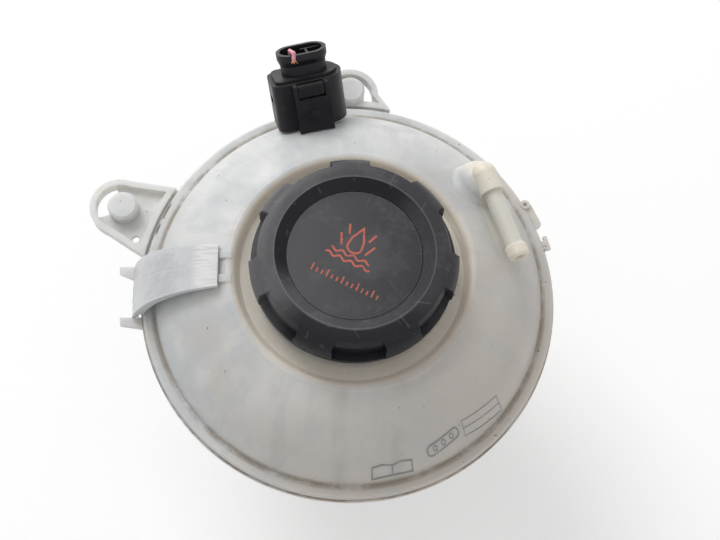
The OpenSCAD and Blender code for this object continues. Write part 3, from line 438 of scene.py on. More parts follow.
@dataclass(frozen=True)
class Finish:
    """A procedural material. Each kind of finish paints its own nodes."""

    name: str

    def build(self, effects: Effects) -> Material:
        """Makes the material.

        Args:
            effects: The shared effects.

        Returns:
            The material.
        """
        coat = Coat(self.name, effects)
        self.paint(coat)
        return coat.material

    def paint(self, coat: Coat) -> None:
        """Joins the nodes of this kind of finish to the shader."""
        raise NotImplementedError


@dataclass(frozen=True)
class PlainFinish(Finish):
    """A finish of one colour with slight mottling."""

    colour: Rgb
    rough: float = 0.45
    mottling: float = 0.06

    def paint(self, coat: Coat) -> None:
        """Joins the mottled colour to the shader."""
        dark = tuple(part * (1.0 - self.mottling) for part in self.colour)
        light = tuple(min(part * (1.0 + self.mottling), 1.0) for part in self.colour)
        coat.give(Base_Color=coat.mix(coat.grime(120.0, 0.35, 0.65), light, dark), Roughness=self.rough)


@dataclass(frozen=True)
class TankPlastic(Finish):
    """Translucent natural plastic, yellowed by age and stained in its grooves, with painted shade towards its lower
    right and over its baffles, and a painted glow in its moat.
    """

    pale: Rgb = (0.685, 0.69, 0.675)
    # Warm tint of random blotches, also used as painted shade on the lower right.
    warm_and_shade: Rgb = (0.54, 0.485, 0.43)
    cool: Rgb = (0.50, 0.52, 0.53)
    cream: Rgb = (0.80, 0.735, 0.60)
    # Warm tan of the moat, paler than the shell: partly its tint, partly painted light standing in for light through
    # the plastic in the cap's shade.
    tan_and_glow: Rgb = (0.79, 0.73, 0.63)
    stain: Rgb = (0.26, 0.20, 0.135)
    # Colour of the painted shade of the baffles seen through the dome.
    shade: Rgb = (0.30, 0.30, 0.31)
    dirt: Rgb = (0.05, 0.04, 0.035)
    # Colour of the painted glow that the moat's wall emits.
    painted_glow: Rgb = (0.075, 0.064, 0.054)
    rough: float = 0.36
    glow: float = 0.6
    moat: Band = Band(0.0405, 0.0030, 0.0022)
    moat_level: Span = (0.116, 0.121)
    moat_wall: Span = (0.0385, 0.0430)
    moat_stain: Band = Band(0.0385, 0.0040, 0.0034)
    stain_level: Span = (0.118, 0.122)
    foot: Band = Band(0.0757, 0.0004, 0.0013)
    foot_level: Band = Band(0.1015, 0.0015, 0.001)
    edge: Band = Band(0.0798, 0.0007, 0.0004)
    edge_level: Band = Band(WELD_Z, 0.0002, 0.0005)
    seam: Band = Band(0.0793, 0.0003, 0.0003)
    seam_turn: Band = Band(2.76, 0.07, 0.04)
    baffles: Triple = (-0.0265, -0.005, 0.0165)
    dome_level: Span = (0.1, 0.104)
    cross_baffle: tuple[Band, Band] = (Band(0.0625, 0.001, 0.002), Band(0.018, 0.011, 0.004))
    nipple_root: Span = (0.0629, math.radians(37.2))
    nipple_way: float = math.radians(-70.6)
    nipple_across: Band = Band(0.0, 0.0038, 0.0020)
    nipple_along: Band = Band(0.015, 0.023, 0.006)
    nipple_level: Span = (0.1232, 0.1252)

    def paint(self, coat: Coat) -> None:
        """Joins the aged and stained plastic to the shader: it glows softly by subsurface light, with painted shade
        and a painted glow on the moat's wall.
        """
        radius, angle, height = coat.round
        x, y, _ = coat.axes
        clouds = coat.noise(coat.place, 24.0, 4.0, 0.6)
        rays = coat.noise(coat.join(angle, coat.times(radius, 6.0), 0.0), 9.0, 3.0, 0.6)
        # Darker and warmer towards the lower right, the side away from the key lamp: painted shade with a warm tint.
        side = coat.plus(coat.minus(x, y), coat.times(coat.noise(coat.place, 16.0), 0.08))
        moved = coat.vector("ADD", coat.place, (0.3, 0.1, 0.0)).outputs[0]
        # The moat: tinted tan and painted paler, standing in for light through the plastic in the cap's shade; its
        # wall also gets a painted glow below.
        well = coat.times(coat.band(radius, self.moat), coat.ramp(height, *self.moat_level))
        seam = coat.times(coat.band(angle, self.seam_turn), coat.band(radius, self.seam),
                          coat.ramp(coat.noise(coat.place, 140.0, 2.0), 0.36, 0.44), 0.85)
        specks = coat.times(coat.ramp(coat.noise(coat.place, 520.0, 1.0), 0.79, 0.8), 0.8)
        colour: Any = self.pale
        for share, tint in (
            (coat.ramp(clouds, 0.42, 0.66, 0.0, 0.8), self.cool),
            (coat.ramp(side, 0.0, 0.15, 0.0, 0.8), self.warm_and_shade),
            (coat.ramp(rays, 0.5, 0.62, 0.0, 0.3), self.cool),
            (coat.ramp(coat.noise(moved, 34.0, 3.0), 0.52, 0.68, 0.0, 0.35), self.warm_and_shade),
            (self.baffle_shadows(coat), self.shade),
            (coat.times(well, 0.7), self.tan_and_glow),
            (self.grooves(coat), self.stain),
            (self.nipple(coat), self.cream),
            (seam, self.dirt),
            (specks, self.dirt),
        ):
            colour = coat.mix(share, colour, tint)
        # Painted glow: the moat's wall emits light, standing in for light that passes through the plastic.
        glow_mask = coat.times(well, coat.ramp(radius, *self.moat_wall, 0.25, 1.0))
        ripples = coat.times(coat.noise(coat.place, 420.0, 2.0), 0.06)
        waves = coat.plus(coat.noise(coat.place, 62.0, 2.0), ripples)
        coat.give(Base_Color=colour, Emission_Color=coat.mix(glow_mask, BLACK, self.painted_glow), Emission_Strength=1.0,
                  Roughness=coat.ramp(clouds, 0.35, 0.65, self.rough - 0.05, self.rough + 0.1),
                  Subsurface_Weight=self.glow, Subsurface_Radius=(1.0, 0.85, 0.7), Subsurface_Scale=0.007,
                  Normal=coat.bump(waves, 0.0016, 0.5))

    def baffle_shadows(self, coat: Coat) -> Socket:
        """Returns the mask of painted shade where the baffles inside show through the dome.

        Args:
            coat: The material's nodes.
        """
        x, y, height = coat.axes
        lines = coat.highest(*(coat.band(x, Band(at, 0.0008, 0.0034)) for at in self.baffles))
        front = coat.times(lines, coat.ramp(y, -0.03, -0.05))
        rear = coat.times(coat.band(x, Band(self.baffles[-1], 0.0008, 0.002)), coat.ramp(y, 0.045, 0.055))
        cross = coat.times(coat.band(y, self.cross_baffle[0]), coat.band(x, self.cross_baffle[1]))
        broken = coat.ramp(coat.noise(coat.join(x, y, 0.0), 70.0, 3.0), 0.4, 0.62, 0.03, 0.24)
        return coat.times(coat.highest(front, rear, cross), broken, coat.ramp(height, *self.dome_level))

    def grooves(self, coat: Coat) -> Socket:
        """Returns the mask of the brown stain in the moat, at the dome's foot and on the flange's edge.

        Args:
            coat: The material's nodes.
        """
        radius, _, height = coat.round
        moat = coat.times(coat.band(radius, self.moat_stain), coat.ramp(height, *self.stain_level),
                          coat.grime(35.0, 0.15, 0.6), 0.24)
        foot = coat.times(coat.band(radius, self.foot), coat.band(height, self.foot_level),
                          coat.grime(60.0, 0.3, 0.58), 0.65)
        edge = coat.times(coat.band(height, self.edge_level), coat.band(radius, self.edge),
                          coat.grime(45.0, 0.35, 0.6), 0.78)
        return coat.highest(moat, foot, edge)

    def nipple(self, coat: Coat) -> Socket:
        """Returns the mask of the yellower nipple, with fine lines along it.

        Args:
            coat: The material's nodes.
        """
        x, y, height = coat.axes
        reach, turn = self.nipple_root
        right, rear = math.cos(self.nipple_way), math.sin(self.nipple_way)
        dx, dy = coat.minus(x, reach * math.cos(turn)), coat.minus(y, reach * math.sin(turn))
        along = coat.plus(coat.times(dx, right), coat.times(dy, rear))
        across = coat.minus(coat.times(dx, -rear), coat.times(dy, -right))
        streaks = coat.noise(coat.join(coat.times(along, 0.06), across, height), 900.0, 2.0)
        return coat.times(coat.band(across, self.nipple_across), coat.band(along, self.nipple_along),
                          coat.ramp(streaks, 0.3, 0.7, 0.7, 1.0),
                          coat.ramp(height, *self.nipple_level, 0.0, 0.85))


@dataclass(frozen=True)
class StrapPlastic(Finish):
    """Bluish translucent plastic, with a painted highlight and dirt at its free end."""

    colour: Rgb = (0.48, 0.50, 0.51)
    pale: Rgb = (0.60, 0.61, 0.615)
    # Colour of the painted highlight near the free end.
    tip_highlight: Rgb = (0.74, 0.735, 0.73)
    dirt: Rgb = (0.10, 0.085, 0.07)
    rough: float = 0.34
    tip: Band = Band(0.0530, 0.0030, 0.0040)
    end: Band = Band(0.0468, 0.0012, 0.0016)

    def paint(self, coat: Coat) -> None:
        """Joins the streaked plastic to the shader."""
        radius, angle, height = coat.round
        streaks = coat.noise(coat.join(coat.times(radius, 0.12), coat.times(angle, 0.06), 0.0), 900.0, 2.0)
        # Painted highlight near the free end, broken by streaks.
        wear_and_highlight = coat.times(coat.band(radius, self.tip), coat.ramp(streaks, 0.3, 0.6, 0.2, 0.9))
        end = coat.times(coat.band(radius, self.end), coat.grime(120.0, 0.25, 0.55), 0.8)
        foot = coat.times(coat.ramp(height, 0.1035, 0.0995), coat.grime(90.0, 0.45, 0.62), 0.6)
        colour = coat.mix(coat.grime(70.0, 0.3, 0.7), self.colour, self.pale)
        colour = coat.mix(coat.ramp(streaks, 0.45, 0.7, 0.0, 0.6), colour, self.pale)
        colour = coat.mix(wear_and_highlight, colour, self.tip_highlight)
        colour = coat.mix(coat.highest(end, foot), colour, self.dirt)
        coat.give(Base_Color=colour, Roughness=self.rough, Subsurface_Weight=0.35,
                  Subsurface_Radius=(0.8, 0.95, 1.0), Subsurface_Scale=0.003,
                  Normal=coat.bump(coat.noise(coat.place, 160.0, 3.0), 0.0004, 0.5))


@dataclass(frozen=True)
class SatinBlack(Finish):
    """Satin dark plastic with a fine grain, dust and thin scuffs."""

    colour: Rgb
    dust: Rgb = (0.24, 0.235, 0.23)
    rough: float = 0.45
    dusty: float = 0.12
    grain: float = 0.00005
    specular: float = 0.5
    scuffed: float = 0.16
    topped: float = 0.0

    def paint(self, coat: Coat) -> None:
        """Joins the dusty plastic to the shader."""
        cloud = coat.grime(60.0, 0.35, 0.75)
        marks = coat.highest(coat.effects.scuffs(coat, coat.place, 420.0),
                             coat.ramp(coat.noise(coat.place, 700.0, 1.0), 0.76, 0.79))
        laid = self.laid(coat, coat.ramp(cloud, 0.0, 1.0, 0.55 * self.dusty, self.dusty))
        colour = coat.mix(laid, self.colour, self.dust)
        colour = coat.mix(coat.times(marks, self.scuffed), colour, self.dust)
        coat.give(Base_Color=self.wear_and_highlight(coat, colour), Specular_IOR_Level=self.specular,
                  Roughness=coat.ramp(cloud, 0.0, 1.0, self.rough - 0.05, self.rough + 0.12),
                  Normal=coat.bump(coat.noise(coat.place, 1500.0, 2.0), self.grain, 0.6))

    def laid(self, coat: Coat, dust: Socket) -> Socket:
        """Returns the share of dust, with more on faces that look along the plug's way out.

        Args:
            coat: The material's nodes.
            dust: Share of dust everywhere.
        """
        if not self.topped:
            return dust
        normal = coat.add("ShaderNodeTexCoord").outputs["Normal"]
        facing = coat.vector("DOT_PRODUCT", normal, PLUG_WAY).outputs["Value"]
        return coat.plus(dust, coat.ramp(facing, 0.7, 0.97, 0.0, self.topped))

    def wear_and_highlight(self, coat: Coat, colour: Socket) -> Socket:
        """Returns the colour as it is, because only the cap has painted highlights on its edges."""
        return colour


@dataclass(frozen=True)
class CapBlack(SatinBlack):
    """The cap's plastic: dust, a painted sheen to its left, painted shade on the slopes that face away from the light,
    and painted highlights on its edges.
    """

    # Strengths of the painted sheen on the left, of the painted shade on the slopes and of the painted edge
    # highlights.
    left_sheen: float = 0.19
    slope_shade: float = 0.96
    edge_highlight: float = 0.2
    recess: Band = Band(0.0264, 0.0018, 0.0006)
    disc_edge: Band = Band(0.0240, 0.0001, 0.0002)
    rim_edge: Band = Band(0.0286, 0.0001, 0.0003)

    def laid(self, coat: Coat, dust: Socket) -> Socket:
        """Returns the share of dust, raised to the left as a painted sheen and taken away as painted shade on the
        recess's rear slope and the rim's front slope.

        Args:
            coat: The material's nodes.
            dust: Share of dust everywhere.
        """
        radius, _, _ = coat.round
        x, y, _ = coat.axes
        # Painted sheen: paler towards the left, the side that faces the key lamp.
        sheen_share = coat.ramp(x, 0.034, -0.036, 0.0, self.left_sheen)
        rearward = coat.sum("DIVIDE", coat.minus(coat.times(y, 0.85), coat.times(x, 0.53)), radius)
        forward = coat.sum("DIVIDE", y, radius)
        # Painted shade: no dust on the recess's rear slope and the rim's front slope, which face away from the light.
        rear = coat.times(coat.band(radius, self.recess), coat.ramp(rearward, -0.05, 0.45))
        rim = coat.times(coat.ramp(radius, 0.0284, 0.0296), coat.ramp(forward, -0.45, -0.85))
        shaded_slopes = coat.times(coat.highest(rear, rim), self.slope_shade)
        return coat.times(coat.plus(dust, sheen_share), coat.minus(1.0, shaded_slopes))

    def wear_and_highlight(self, coat: Coat, colour: Socket) -> Socket:
        """Returns the colour with painted highlights: pale lines on the disc's edge and the rim's inner edge."""
        radius, _, _ = coat.round
        rings = coat.highest(coat.band(radius, self.disc_edge), coat.band(radius, self.rim_edge))
        # Painted highlights: pale lines on the two edges.
        return coat.mix(coat.times(rings, self.edge_highlight), colour, self.dust)


@dataclass(frozen=True)
class Metal(Finish):
    """Bare metal with fine lines from drawing or turning."""

    colour: Rgb
    rough: float = 0.3
    tarnish: Rgb = (0.25, 0.2, 0.15)

    def paint(self, coat: Coat) -> None:
        """Joins the tarnished metal to the shader."""
        stain = coat.grime(300.0, 0.5, 0.8)
        drawn = coat.vector("MULTIPLY", coat.place, (1.0, 1.0, 8.0)).outputs[0]
        coat.give(Base_Color=coat.mix(coat.times(stain, 0.35), self.colour, self.tarnish), Metallic=1.0,
                  Roughness=coat.ramp(stain, 0.0, 1.0, self.rough, self.rough + 0.25),
                  Normal=coat.bump(coat.noise(drawn, 1800.0, 2.0), 0.00002, 0.5))


@dataclass(frozen=True)
class SoftRubber(Finish):
    """Matt rubber or silicone with a fine orange-peel surface."""

    colour: Rgb
    bloom: Rgb = (0.16, 0.155, 0.15)
    rough: float = 0.68

    def paint(self, coat: Coat) -> None:
        """Joins the bloomed rubber to the shader."""
        bloom = coat.times(coat.grime(180.0, 0.45, 0.8), 0.3)
        coat.give(Base_Color=coat.mix(bloom, self.colour, self.bloom), Roughness=self.rough,
                  Normal=coat.bump(coat.noise(coat.place, 1200.0, 3.0), 0.00006, 0.6))


@dataclass(frozen=True)
class Ink(Finish):
    """Thin worn print."""

    colour: Rgb
    ground: Rgb
    wear: float = 0.5
    rough: float = 0.5

    def paint(self, coat: Coat) -> None:
        """Joins the worn ink to the shader."""
        wear_and_highlight = coat.times(coat.grime(500.0, 0.5, 0.72), self.wear)
        coat.give(Base_Color=coat.mix(wear_and_highlight, self.colour, self.ground), Roughness=self.rough)


def close_mesh(mesh: bpy.types.Mesh, reach: float = 1e-7, turn: bool = True) -> None:
    """Merges a mesh's doubles.

    Args:
        mesh: The mesh, closed but for its doubles.
        reach: Points nearer than this are merged.
        turn: Whether its faces are also turned outwards.
    """
    shape = bmesh.new()
    shape.from_mesh(mesh)
    bmesh.ops.remove_doubles(shape, verts=shape.verts, dist=reach)
    if turn:
        bmesh.ops.recalc_face_normals(shape, faces=shape.faces)
    shape.to_mesh(mesh)
    shape.free()


def linked(name: str, data: Any) -> Object:
    """Returns a new object of some data, at the origin and linked to the scene."""
    made = bpy.data.objects.new(name, data)
    bpy.context.scene.collection.objects.link(made)
    return made


def mesh_object(name: str, points: Sequence[Any], faces: Sequence[Sequence[int]], material: Material,
                smooth: bool = True) -> Object:
    """Makes a mesh object at the origin with outward faces.

    Args:
        name: The object's name.
        points: Its points, in metres in the tank's frame.
        faces: Its faces, as rows of point numbers.
        material: Its material.
        smooth: Whether it is shaded smooth up to sharp edges.

    Returns:
        The object, linked to the scene.
    """
    mesh = bpy.data.meshes.new(name)
    mesh.from_pydata([tuple(p) for p in points], [], [tuple(f) for f in faces])
    close_mesh(mesh)
    mesh.materials.append(material)
    if smooth:
        mesh.shade_smooth()
        mesh.set_sharp_from_angle(angle=math.radians(35))
    return linked(name, mesh)


class GeometryTree(NodeKit):
    """A Geometry Nodes tree with named inputs, whose result is kept as a plain mesh."""

    def __init__(self, name: str, inputs: dict[str, Any]) -> None:
        """Makes an empty tree.

        Args:
            name: The tree's name.
            inputs: Value of each named input; whole numbers become whole-number sockets.
        """
        super().__init__(bpy.data.node_groups.new(name, "GeometryNodeTree"))
        self.values = inputs
        kinds = {"Geometry": "NodeSocketGeometry"}
        kinds |= {label: "NodeSocketInt" if isinstance(value, int) else "NodeSocketFloat"
                  for label, value in inputs.items()}
        for label, kind in kinds.items():
            self.tree.interface.new_socket(label, in_out="INPUT", socket_type=kind)
        self.tree.interface.new_socket("Geometry", in_out="OUTPUT", socket_type="NodeSocketGeometry")
        self.source = self.add("NodeGroupInput")
        self.sink = self.add("NodeGroupOutput")

    def __getitem__(self, label: str) -> Socket:
        """Returns the output of a named input."""
        return self.source.outputs[label]

    def node(self, kind: str, inputs: dict[Any, Any], **settings: Any) -> Node:
        """Adds a node and fills its inputs.

        Args:
            kind: The node's type name.
            inputs: Value or output for each input, by name or number.
            settings: Properties of the node.

        Returns:
            The node.
        """
        made = self.add(kind, **settings)
        for label, value in inputs.items():
            self.put(made.inputs[label], value)
        return made

    def shape(self, kind: str, inputs: dict[Any, Any], **settings: Any) -> Socket:
        """Adds a node, fills its inputs and returns its first output."""
        return self.node(kind, inputs, **settings).outputs[0]

    def lifted(self, shape: Socket, height: Socket, spin: Any = 0.0) -> Socket:
        """Returns a shape raised to a height and turned about the tank's axis."""
        lift, turn = self.join(0.0, 0.0, height), self.join(0.0, 0.0, spin)
        return self.shape("GeometryNodeTransform", {"Geometry": shape, "Translation": lift, "Rotation": turn})

    def plain(self, name: str, result: Socket, material: Material,
              base: Optional[bpy.types.Mesh] = None) -> Object:
        """Ends the tree, runs it once and returns the result as an object with a plain mesh.

        Args:
            name: The new object's name.
            result: The output that holds the shape.
            material: Its material.
            base: Mesh that the tree starts from, if it needs one.
        """
        real = self.shape("GeometryNodeRealizeInstances", {"Geometry": result})
        dressed = self.shape("GeometryNodeSetMaterial", {"Geometry": real, "Material": material})
        self.put(self.sink.inputs[0], dressed)
        maker = linked(name + "_maker", base or bpy.data.meshes.new(name + "_base"))
        modifier = maker.modifiers.new("maker", "NODES")
        modifier.node_group = self.tree
        for item in self.tree.interface.items_tree:
            if item.item_type == "SOCKET" and item.in_out == "INPUT" and item.name in self.values:
                modifier[item.identifier] = self.values[item.name]
        view = bpy.context.evaluated_depsgraph_get()
        mesh = bpy.data.meshes.new_from_object(maker.evaluated_get(view))
        mesh.name = name
        maker.modifiers.remove(modifier)
        bpy.data.objects.remove(maker)
        return linked(name, mesh)


@dataclass
class ScrewThread:
    """One right-hand screw thread that tapers out at both ends."""

    name: str
    body: Body
    slot: str
    radius: float
    depth: float
    low: float
    turns: float
    lead: float = 6e-3
    root_width: float = 2.4e-3
    crest_width: float = 1.4e-3
    sunk: float = 0.15e-3
    steps: int = 72
    start: float = 0.0

    def build(self, material: Material) -> Object:
        """Makes the thread and lets it ride on its body.

        Args:
            material: The material of the part that carries it.

        Returns:
            The thread's object.
        """
        tree = GeometryTree(self.name + "_tree", {
            "Radius": self.radius, "Rise": self.lead * self.turns, "Turns": self.turns,
            "Low": self.low, "Start": math.radians(self.start), "Steps": self.steps})
        spiral = tree.shape("GeometryNodeCurveSpiral", {
            "Resolution": tree["Steps"], "Rotations": tree["Turns"], "Start Radius": tree["Radius"],
            "End Radius": tree["Radius"], "Height": tree["Rise"], "Reverse": True})
        upright = tree.shape("GeometryNodeSetCurveNormal", {"Curve": spiral}, mode="Z_UP")
        root, crest = self.root_width / 2, self.crest_width / 2
        foot = math.copysign(self.sunk, -self.depth)
        tooth = tree.shape("GeometryNodeCurvePrimitiveQuadrilateral", {
            "Point 1": (foot, -root, 0.0), "Point 2": (self.depth, -crest, 0.0),
            "Point 3": (self.depth, crest, 0.0), "Point 4": (foot, root, 0.0)}, mode="POINTS")
        along = tree.node("GeometryNodeSplineParameter", {}).outputs["Factor"]
        taper = tree.ramp(tree.sum("ABSOLUTE", tree.minus(along, 0.5)), 0.47, 0.5, 1.0, 0.12)
        swept = tree.shape("GeometryNodeCurveToMesh", {
            "Curve": upright, "Profile Curve": tooth, "Scale": taper, "Fill Caps": True})
        piece = tree.plain(self.name, tree.lifted(swept, tree["Low"], tree["Start"]), material)
        close_mesh(piece.data)
        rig.ride(piece, self.body.value)
        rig.slot(piece, self.slot)
        return piece


@dataclass
class WeldBead:
    """Uneven bead of melt that the weld pressed out between the two flanges."""

    name: str = "weld_bead"
    radius: float = 79.75e-3
    level: float = WELD_Z
    thickness: float = 0.42e-3
    uneven: float = 0.25e-3
    steps: int = 420
    corners: int = 8
    seed: int = 7

    def build(self, material: Material) -> Object:
        """Makes the bead and lets it ride on the tank.

        Args:
            material: The shell's material.

        Returns:
            The bead's object.
        """
        tree = GeometryTree("weld_bead_tree", {
            "Radius": self.radius, "Level": self.level, "Thickness": self.thickness,
            "Uneven": self.uneven, "Steps": self.steps})
        circle = "GeometryNodeCurvePrimitiveCircle"
        ring = tree.shape(circle, {"Resolution": tree["Steps"], "Radius": tree["Radius"]})
        profile = tree.shape(circle, {"Resolution": self.corners, "Radius": tree["Thickness"]})
        here = tree.shape("GeometryNodeInputPosition", {})
        cloud = {"Vector": here, "Scale": 160.0, "Detail": 3.0, "W": float(self.seed)}
        rough = tree.node("ShaderNodeTexNoise", cloud, noise_dimensions="4D").outputs["Fac"]
        swing = tree.times(tree.minus(rough, 0.5), tree["Uneven"])
        out = tree.shape("ShaderNodeVectorMath", {0: here}, operation="NORMALIZE")
        push = tree.shape("ShaderNodeVectorMath", {0: out, "Scale": swing}, operation="SCALE")
        bent = tree.shape("GeometryNodeSetPosition", {"Geometry": ring, "Offset": push})
        swept = tree.shape("GeometryNodeCurveToMesh", {
            "Curve": bent, "Profile Curve": profile, "Scale": tree.ramp(rough, 0.3, 0.7, 0.7, 1.25)})
        smooth = tree.shape("GeometryNodeSetShadeSmooth", {"Geometry": tree.lifted(swept, tree["Level"])})
        piece = tree.plain(self.name, smooth, material)
        close_mesh(piece.data)
        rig.ride(piece, Body.TANK.value)
        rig.slot(piece, "shell_plastic")
        return piece


@dataclass
class DirtGrains:
    """Dark dirt scattered in the moat and at the dome's foot. At this density a single grain falls."""

    name: str = "dirt_grains"
    grain: float = 0.16e-3
    density: float = 5200.0
    seed: int = 11
    smallest: Triple = (0.4, 0.4, 0.3)
    largest: Triple = (1.6, 1.2, 0.6)
    moat: Band = Band(0.0378, 0.0016, 0.003)
    moat_side: Band = Band(0.3, 0.8, 0.9)
    foot: Band = Band(0.0762, 0.0012, 0.001)
    foot_share: float = 0.12

    def build(self, ground: Object, material: Material) -> Object:
        """Scatters the grains and lets them ride on the tank.

        Args:
            ground: The CAD shell that they lie on.
            material: The dirt's material.

        Returns:
            The grains' object.
        """
        tree = GeometryTree("dirt_grains_tree", {
            "Grain": self.grain, "Density": self.density, "Seed": self.seed})
        radius, angle, height = tree.polar(tree.shape("GeometryNodeInputPosition", {}))
        _, _, facing = tree.split(tree.shape("GeometryNodeInputNormal", {}))
        moat = tree.times(tree.band(radius, self.moat), tree.ramp(height, 0.12, 0.121),
                          tree.band(angle, self.moat_side))
        foot = tree.times(tree.band(radius, self.foot), self.foot_share)
        upward = tree.times(tree.plus(moat, foot), tree.ramp(facing, 0.6, 0.9), tree["Density"],
                            tree.ramp(height, 0.1, 0.1005))
        points = tree.node("GeometryNodeDistributePointsOnFaces", {
            "Mesh": tree["Geometry"], "Density": upward, "Seed": tree["Seed"]})
        lump = tree.shape("GeometryNodeMeshIcoSphere", {"Radius": tree["Grain"], "Subdivisions": 1})
        spread = tree.shape("FunctionNodeRandomValue", {"Seed": 5, 0: self.smallest, 1: self.largest},
                            data_type="FLOAT_VECTOR")
        laid = tree.shape("GeometryNodeInstanceOnPoints", {
            "Points": points.outputs["Points"], "Instance": lump,
            "Rotation": points.outputs["Rotation"], "Scale": spread})
        base = ground.data.copy()
        close_mesh(base, 1e-6, turn=False)
        piece = tree.plain(self.name, laid, material, base)
        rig.ride(piece, Body.TANK.value)
        return piece


class RibbonPen:
    """Draws thin printed lines as closed ribbons on a surface."""

    def __init__(self, lift: Callable[[float, float], Vector], up: Callable[[float, float], Vector],
                 width: float, thickness: float, step: float = 0.9e-3) -> None:
        """Takes the surface and the line's size.

        Args:
            lift: Gives the point of the surface over a flat point, in metres.
            up: Gives the surface's normal over a flat point.
            width: Width of a line.
            thickness: Height of a line above the surface.
            step: Longest span of a line.
        """
        self.lift, self.up, self.width, self.thickness, self.step = lift, up, width, thickness, step
        self.points: list[Vector] = []
        self.faces: list[tuple[int, ...]] = []

    def line(self, path: Sequence[Point], closed: bool = False, width: Optional[float] = None) -> None:
        """Adds one line.

        Args:
            path: Flat points that it follows, in metres.
            closed: Whether it runs back to its start.
            width: Its width, if it isn't the pen's own.
        """
        half = (width or self.width) / 2
        flat = self.fine([Vector((p[0], p[1])) for p in path], closed)
        count = len(flat)
        first = len(self.points)
        for i, point in enumerate(flat):
            before = flat[i - 1] if closed or i else point
            after = flat[(i + 1) % count] if closed or i < count - 1 else point
            one, two = point - before, after - point
            one = one.normalized() if one.length > 1e-9 else two.normalized()
            two = two.normalized() if two.length > 1e-9 else one
            along = (one + two).normalized()
            across = Vector((-along.y, along.x)) * half / max(along.dot(two), 0.5)
            for edge in (point + across, point - across):
                base, normal = self.lift(edge.x, edge.y), self.up(edge.x, edge.y)
                self.points += [base - normal * self.thickness, base + normal * self.thickness]
        spans = count if closed else count - 1
        for i in range(spans):
            a, b = first + 4 * i, first + 4 * ((i + 1) % count)
            self.faces += [(a + 1, a + 3, b + 3, b + 1), (a, b, b + 2, a + 2),
                           (a, a + 1, b + 1, b), (a + 2, b + 2, b + 3, a + 3)]
        if not closed:
            last = first + 4 * (count - 1)
            self.faces += [(first, first + 2, first + 3, first + 1), (last, last + 1, last + 3, last + 2)]

    def fine(self, corners: Sequence[Vector], closed: bool) -> list[Vector]:
        """Returns a path with points added, so that it follows a curved surface.

        Args:
            corners: The path's corners.
            closed: Whether it runs back to its start.
        """
        ends = list(corners[1:]) + ([corners[0]] if closed else [])
        path: list[Vector] = []
        for start, end in zip(corners, ends):
            steps = max(1, math.ceil((end - start).length / self.step))
            path += [start.lerp(end, i / steps) for i in range(steps)]
        return path if closed else path + [corners[-1]]

    def finish(self, name: str, material: Material) -> Object:
        """Returns all lines as one object.

        Args:
            name: The object's name.
            material: Its material.
        """
        return mesh_object(name, self.points, self.faces, material, smooth=False)


def arc(centre: Point, radius: float, start: float, end: float, steps: int = 16) -> list[Point]:
    """Returns points along an arc.

    Args:
        centre: Its centre.
        radius: Its radius.
        start: Where it starts, in degrees.
        end: Where it ends, in degrees.
        steps: Number of spans.
    """
    angles = [math.radians(start + (end - start) * i / steps) for i in range(steps + 1)]
    return [(centre[0] + radius * math.cos(a), centre[1] + radius * math.sin(a)) for a in angles]


def placed(points: Sequence[Point], centre: Point, degrees: float, scale: float = 1.0) -> list[Point]:
    """Returns flat points turned, scaled and moved to a centre."""
    c, s = math.cos(math.radians(degrees)), math.sin(math.radians(degrees))
    return [(centre[0] + scale * (c * x - s * y), centre[1] + scale * (s * x + c * y)) for x, y in points]


@dataclass
class CapPrint:
    """Print on the cap's disc: a drop over waves, side strokes and a row of ticks."""

    centre: Point = (0.3e-3, 3.4e-3)
    turn: float = -26.0
    ticks_centre: Point = (-3.5e-3, -10.1e-3)
    tick_count: int = 14
    tick_pitch: float = 1.95e-3
    tick_width: float = 0.55e-3
    tick_foot: float = -1.4
    long_tick: float = 2.8
    short_tick: float = 1.7
    waves: tuple[Span, Span] = ((-4.4, 7.6), (-6.6, 8.6))
    lower_stroke: tuple[Point, Point] = ((4.6, -2.0), (6.6, 2.2))
    upper_stroke: tuple[Point, Point] = ((3.8, 3.0), (5.2, 6.6))
    line_width: float = 0.75e-3
    disc_top: float = WELD_Z + 44.6e-3
    thickness: float = 0.03e-3

    def build(self, ink: Material) -> Object:
        """Makes the print and lets it ride on the cap.

        Args:
            ink: The ink's material.

        Returns:
            The print's object.
        """
        pen = RibbonPen(lambda x, y: Vector((x, y, self.disc_top)), lambda x, y: Vector((0, 0, 1)),
                        self.line_width, self.thickness)
        drop = arc((0, -0.2), 2.9, 200, 340) + [(2.3, 2.2), (1.2, 4.4), (0.0, 7.0), (-1.2, 4.4), (-2.3, 2.2)]
        pen.line(placed(drop, self.centre, self.turn, MM), closed=True)
        for level, reach in self.waves:
            wave = [(x, level + 0.55 * math.sin(x * 1.45)) for x in np.linspace(-reach, reach, 40)]
            pen.line(placed(wave, self.centre, self.turn, MM))
        for side in (-1, 1):
            for stroke in (self.lower_stroke, self.upper_stroke):
                pen.line(placed([(side * x, y) for x, y in stroke], self.centre, self.turn, MM))
        for i in range(self.tick_count):
            x = (i - (self.tick_count - 1) / 2) * self.tick_pitch / MM
            top = self.tick_foot + (self.short_tick if i % 3 else self.long_tick)
            pen.line(placed([(x, self.tick_foot), (x, top)], self.ticks_centre, self.turn, MM),
                     width=self.tick_width)
        piece = pen.finish("cap_print", ink)
        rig.ride(piece, Body.CAP.value)
        return piece


